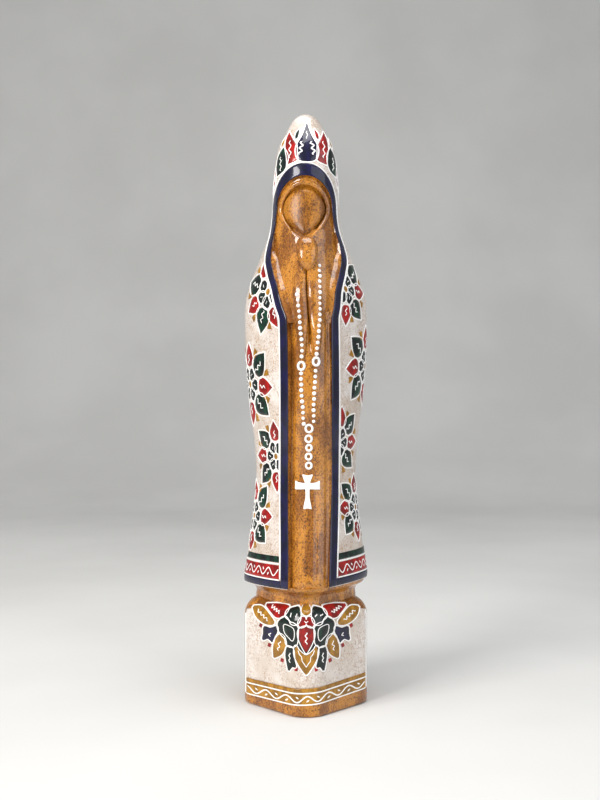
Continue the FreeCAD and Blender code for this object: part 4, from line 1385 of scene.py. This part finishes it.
def level_spot(x, z):
    """A small upright plane at the depth of the gown's surface at one spot."""
    depth = float(np.min(bead_bed(x, z)[..., 1]))

    def plane(across, height):
        """The same depth for every point."""
        across, height = paired(across, height)
        return np.stack([across, np.full(across.shape, depth), height], axis=-1)
    return plane


# %% Paint the rosary
beads, rings = [], []
for name, table in STRANDS.items():
    marks = np.array(table)
    for z in np.arange(marks[0, 0], marks[-1, 0] + 0.1, BEAD_STEP):
        x = float(smooth_curve(z, marks)) + float(chance.uniform(-0.15, 0.15))
        if abs(z - LARGE[name]) > RING_CLEAR:
            size = BEAD_RADIUS * float(chance.uniform(0.86, 1.1))
            beads.append(mound(level_spot(x, z), disc(x, z, size), 0.8, 0.5, 5, 2.2))
    x = float(smooth_curve(LARGE[name], marks))
    ring = disc(x, LARGE[name], 1.5, 1.25, 32)
    rings.append(brush_line(bead_bed, ring, RING_WIDTH, 0.55, closed=True))
for x, z, radius in PENDANT:
    ring = disc(x, z, radius, 1.08, 32)
    rings.append(brush_line(gown_relief, ring, RING_WIDTH - 0.1, 0.55, closed=True))
cross = outline_from(CROSS_CENTRE + np.array(CROSS), 160)
make_piece("rosary_beads", beads, WHITE)
make_piece("rosary_rings", [], WHITE, loops=rings)
make_piece("rosary_cross", [mound(gown_relief, cross, 0.35, 0.3, 7, 8.0)], WHITE)

# %% [markdown]
# ## Floor, light and camera
#
# A pale floor that curves up into a backdrop, one large soft light from the left, a weaker one
# from the right and one from above, and a long lens at the height of the figure's waist.

# %% Floor
SWEEP_START, SWEEP = 900, 700      # where the floor starts to rise, and the radius it rises by


def studio_floor():
    """A wide sheet that runs back and sweeps up into a wall by a quarter circle."""
    turn = np.linspace(0, np.pi / 2, 24)[1:]
    depth = np.concatenate([np.linspace(-3000, SWEEP_START, 12), SWEEP_START + SWEEP * np.sin(turn),
                            [SWEEP_START + SWEEP]])
    height = np.concatenate([np.zeros(12), SWEEP - SWEEP * np.cos(turn), [3200]])
    across = np.array([-3500.0, 0.0, 3500.0])
    grid = np.stack([np.repeat(across[None], len(depth), 0), np.repeat(depth[:, None], 3, 1),
                     np.repeat(height[:, None], 3, 1)], axis=-1)
    mesh = bpy.data.meshes.new("studio_floor")
    mesh.from_pydata((grid.reshape(-1, 3) * MM).tolist(), [], sheet_faces(grid, 0))
    mesh.shade_smooth()
    material, shader, place = new_finish("pale_floor")
    tone = grain(place, 4.0, 1.0, 3).ramp(0.3, 0.7).blend((0.62, 0.615, 0.60), (0.68, 0.675, 0.66))
    feed(material, shader, tone, 0.7, coat=0.0)
    mesh.materials.append(material)
    put_in_scene("studio_floor", mesh)


studio_floor()


# %% Lights and room
def soft_light(name, place, aim, size, power, colour):
    """A square area light aimed at a point."""
    data = bpy.data.lights.new(name, "AREA")
    data.size, data.energy, data.color = size, power, colour
    light = put_in_scene(name, data)
    light.location = place
    way = np.asarray(aim) - np.asarray(place)
    light.rotation_euler = (float(np.arctan2(np.hypot(way[0], way[1]), -way[2])), 0.0,
                            float(np.arctan2(-way[0], way[1])))
    print("light", name, power, "W")


soft_light("window_left", (-0.75, -0.75, 0.62), (0, 0, 0.17), 0.50, 15.0, (1.0, 0.97, 0.93))
soft_light("fill_right", (0.85, -0.55, 0.42), (0, 0, 0.16), 1.1, 6.5, (0.90, 0.94, 1.0))
soft_light("overhead", (0.05, -0.15, 1.15), (0, 0, 0.15), 0.6, 7.0, (1.0, 1.0, 1.0))
world = bpy.data.worlds.new("room")
world.use_nodes = True
background = world.node_tree.nodes["Background"]
background.inputs["Color"].default_value = (0.86, 0.88, 0.90, 1.0)
background.inputs["Strength"].default_value = 0.38
bpy.context.scene.world = world
# The plain view keeps the paints saturated; the default one would wash them out.
bpy.context.scene.view_settings.view_transform = "Standard"

# %% Camera
CAMERA_HEIGHT, CAMERA_BACK, CAMERA_ASIDE = 0.153, 0.548, -0.003
FRAME_HEIGHT, LENS = 36.0, 48.24       # mm
lens_data = bpy.data.cameras.new("camera")
lens_data.sensor_fit = "VERTICAL"
lens_data.sensor_height = FRAME_HEIGHT
lens_data.lens = LENS
camera = put_in_scene("camera", lens_data)
camera.location = (CAMERA_ASIDE, -CAMERA_BACK, CAMERA_HEIGHT)
camera.rotation_euler = (float(np.pi / 2), 0.0, 0.0)
bpy.context.scene.camera = camera
print("lens, mm:", LENS, "at", CAMERA_BACK, "m")
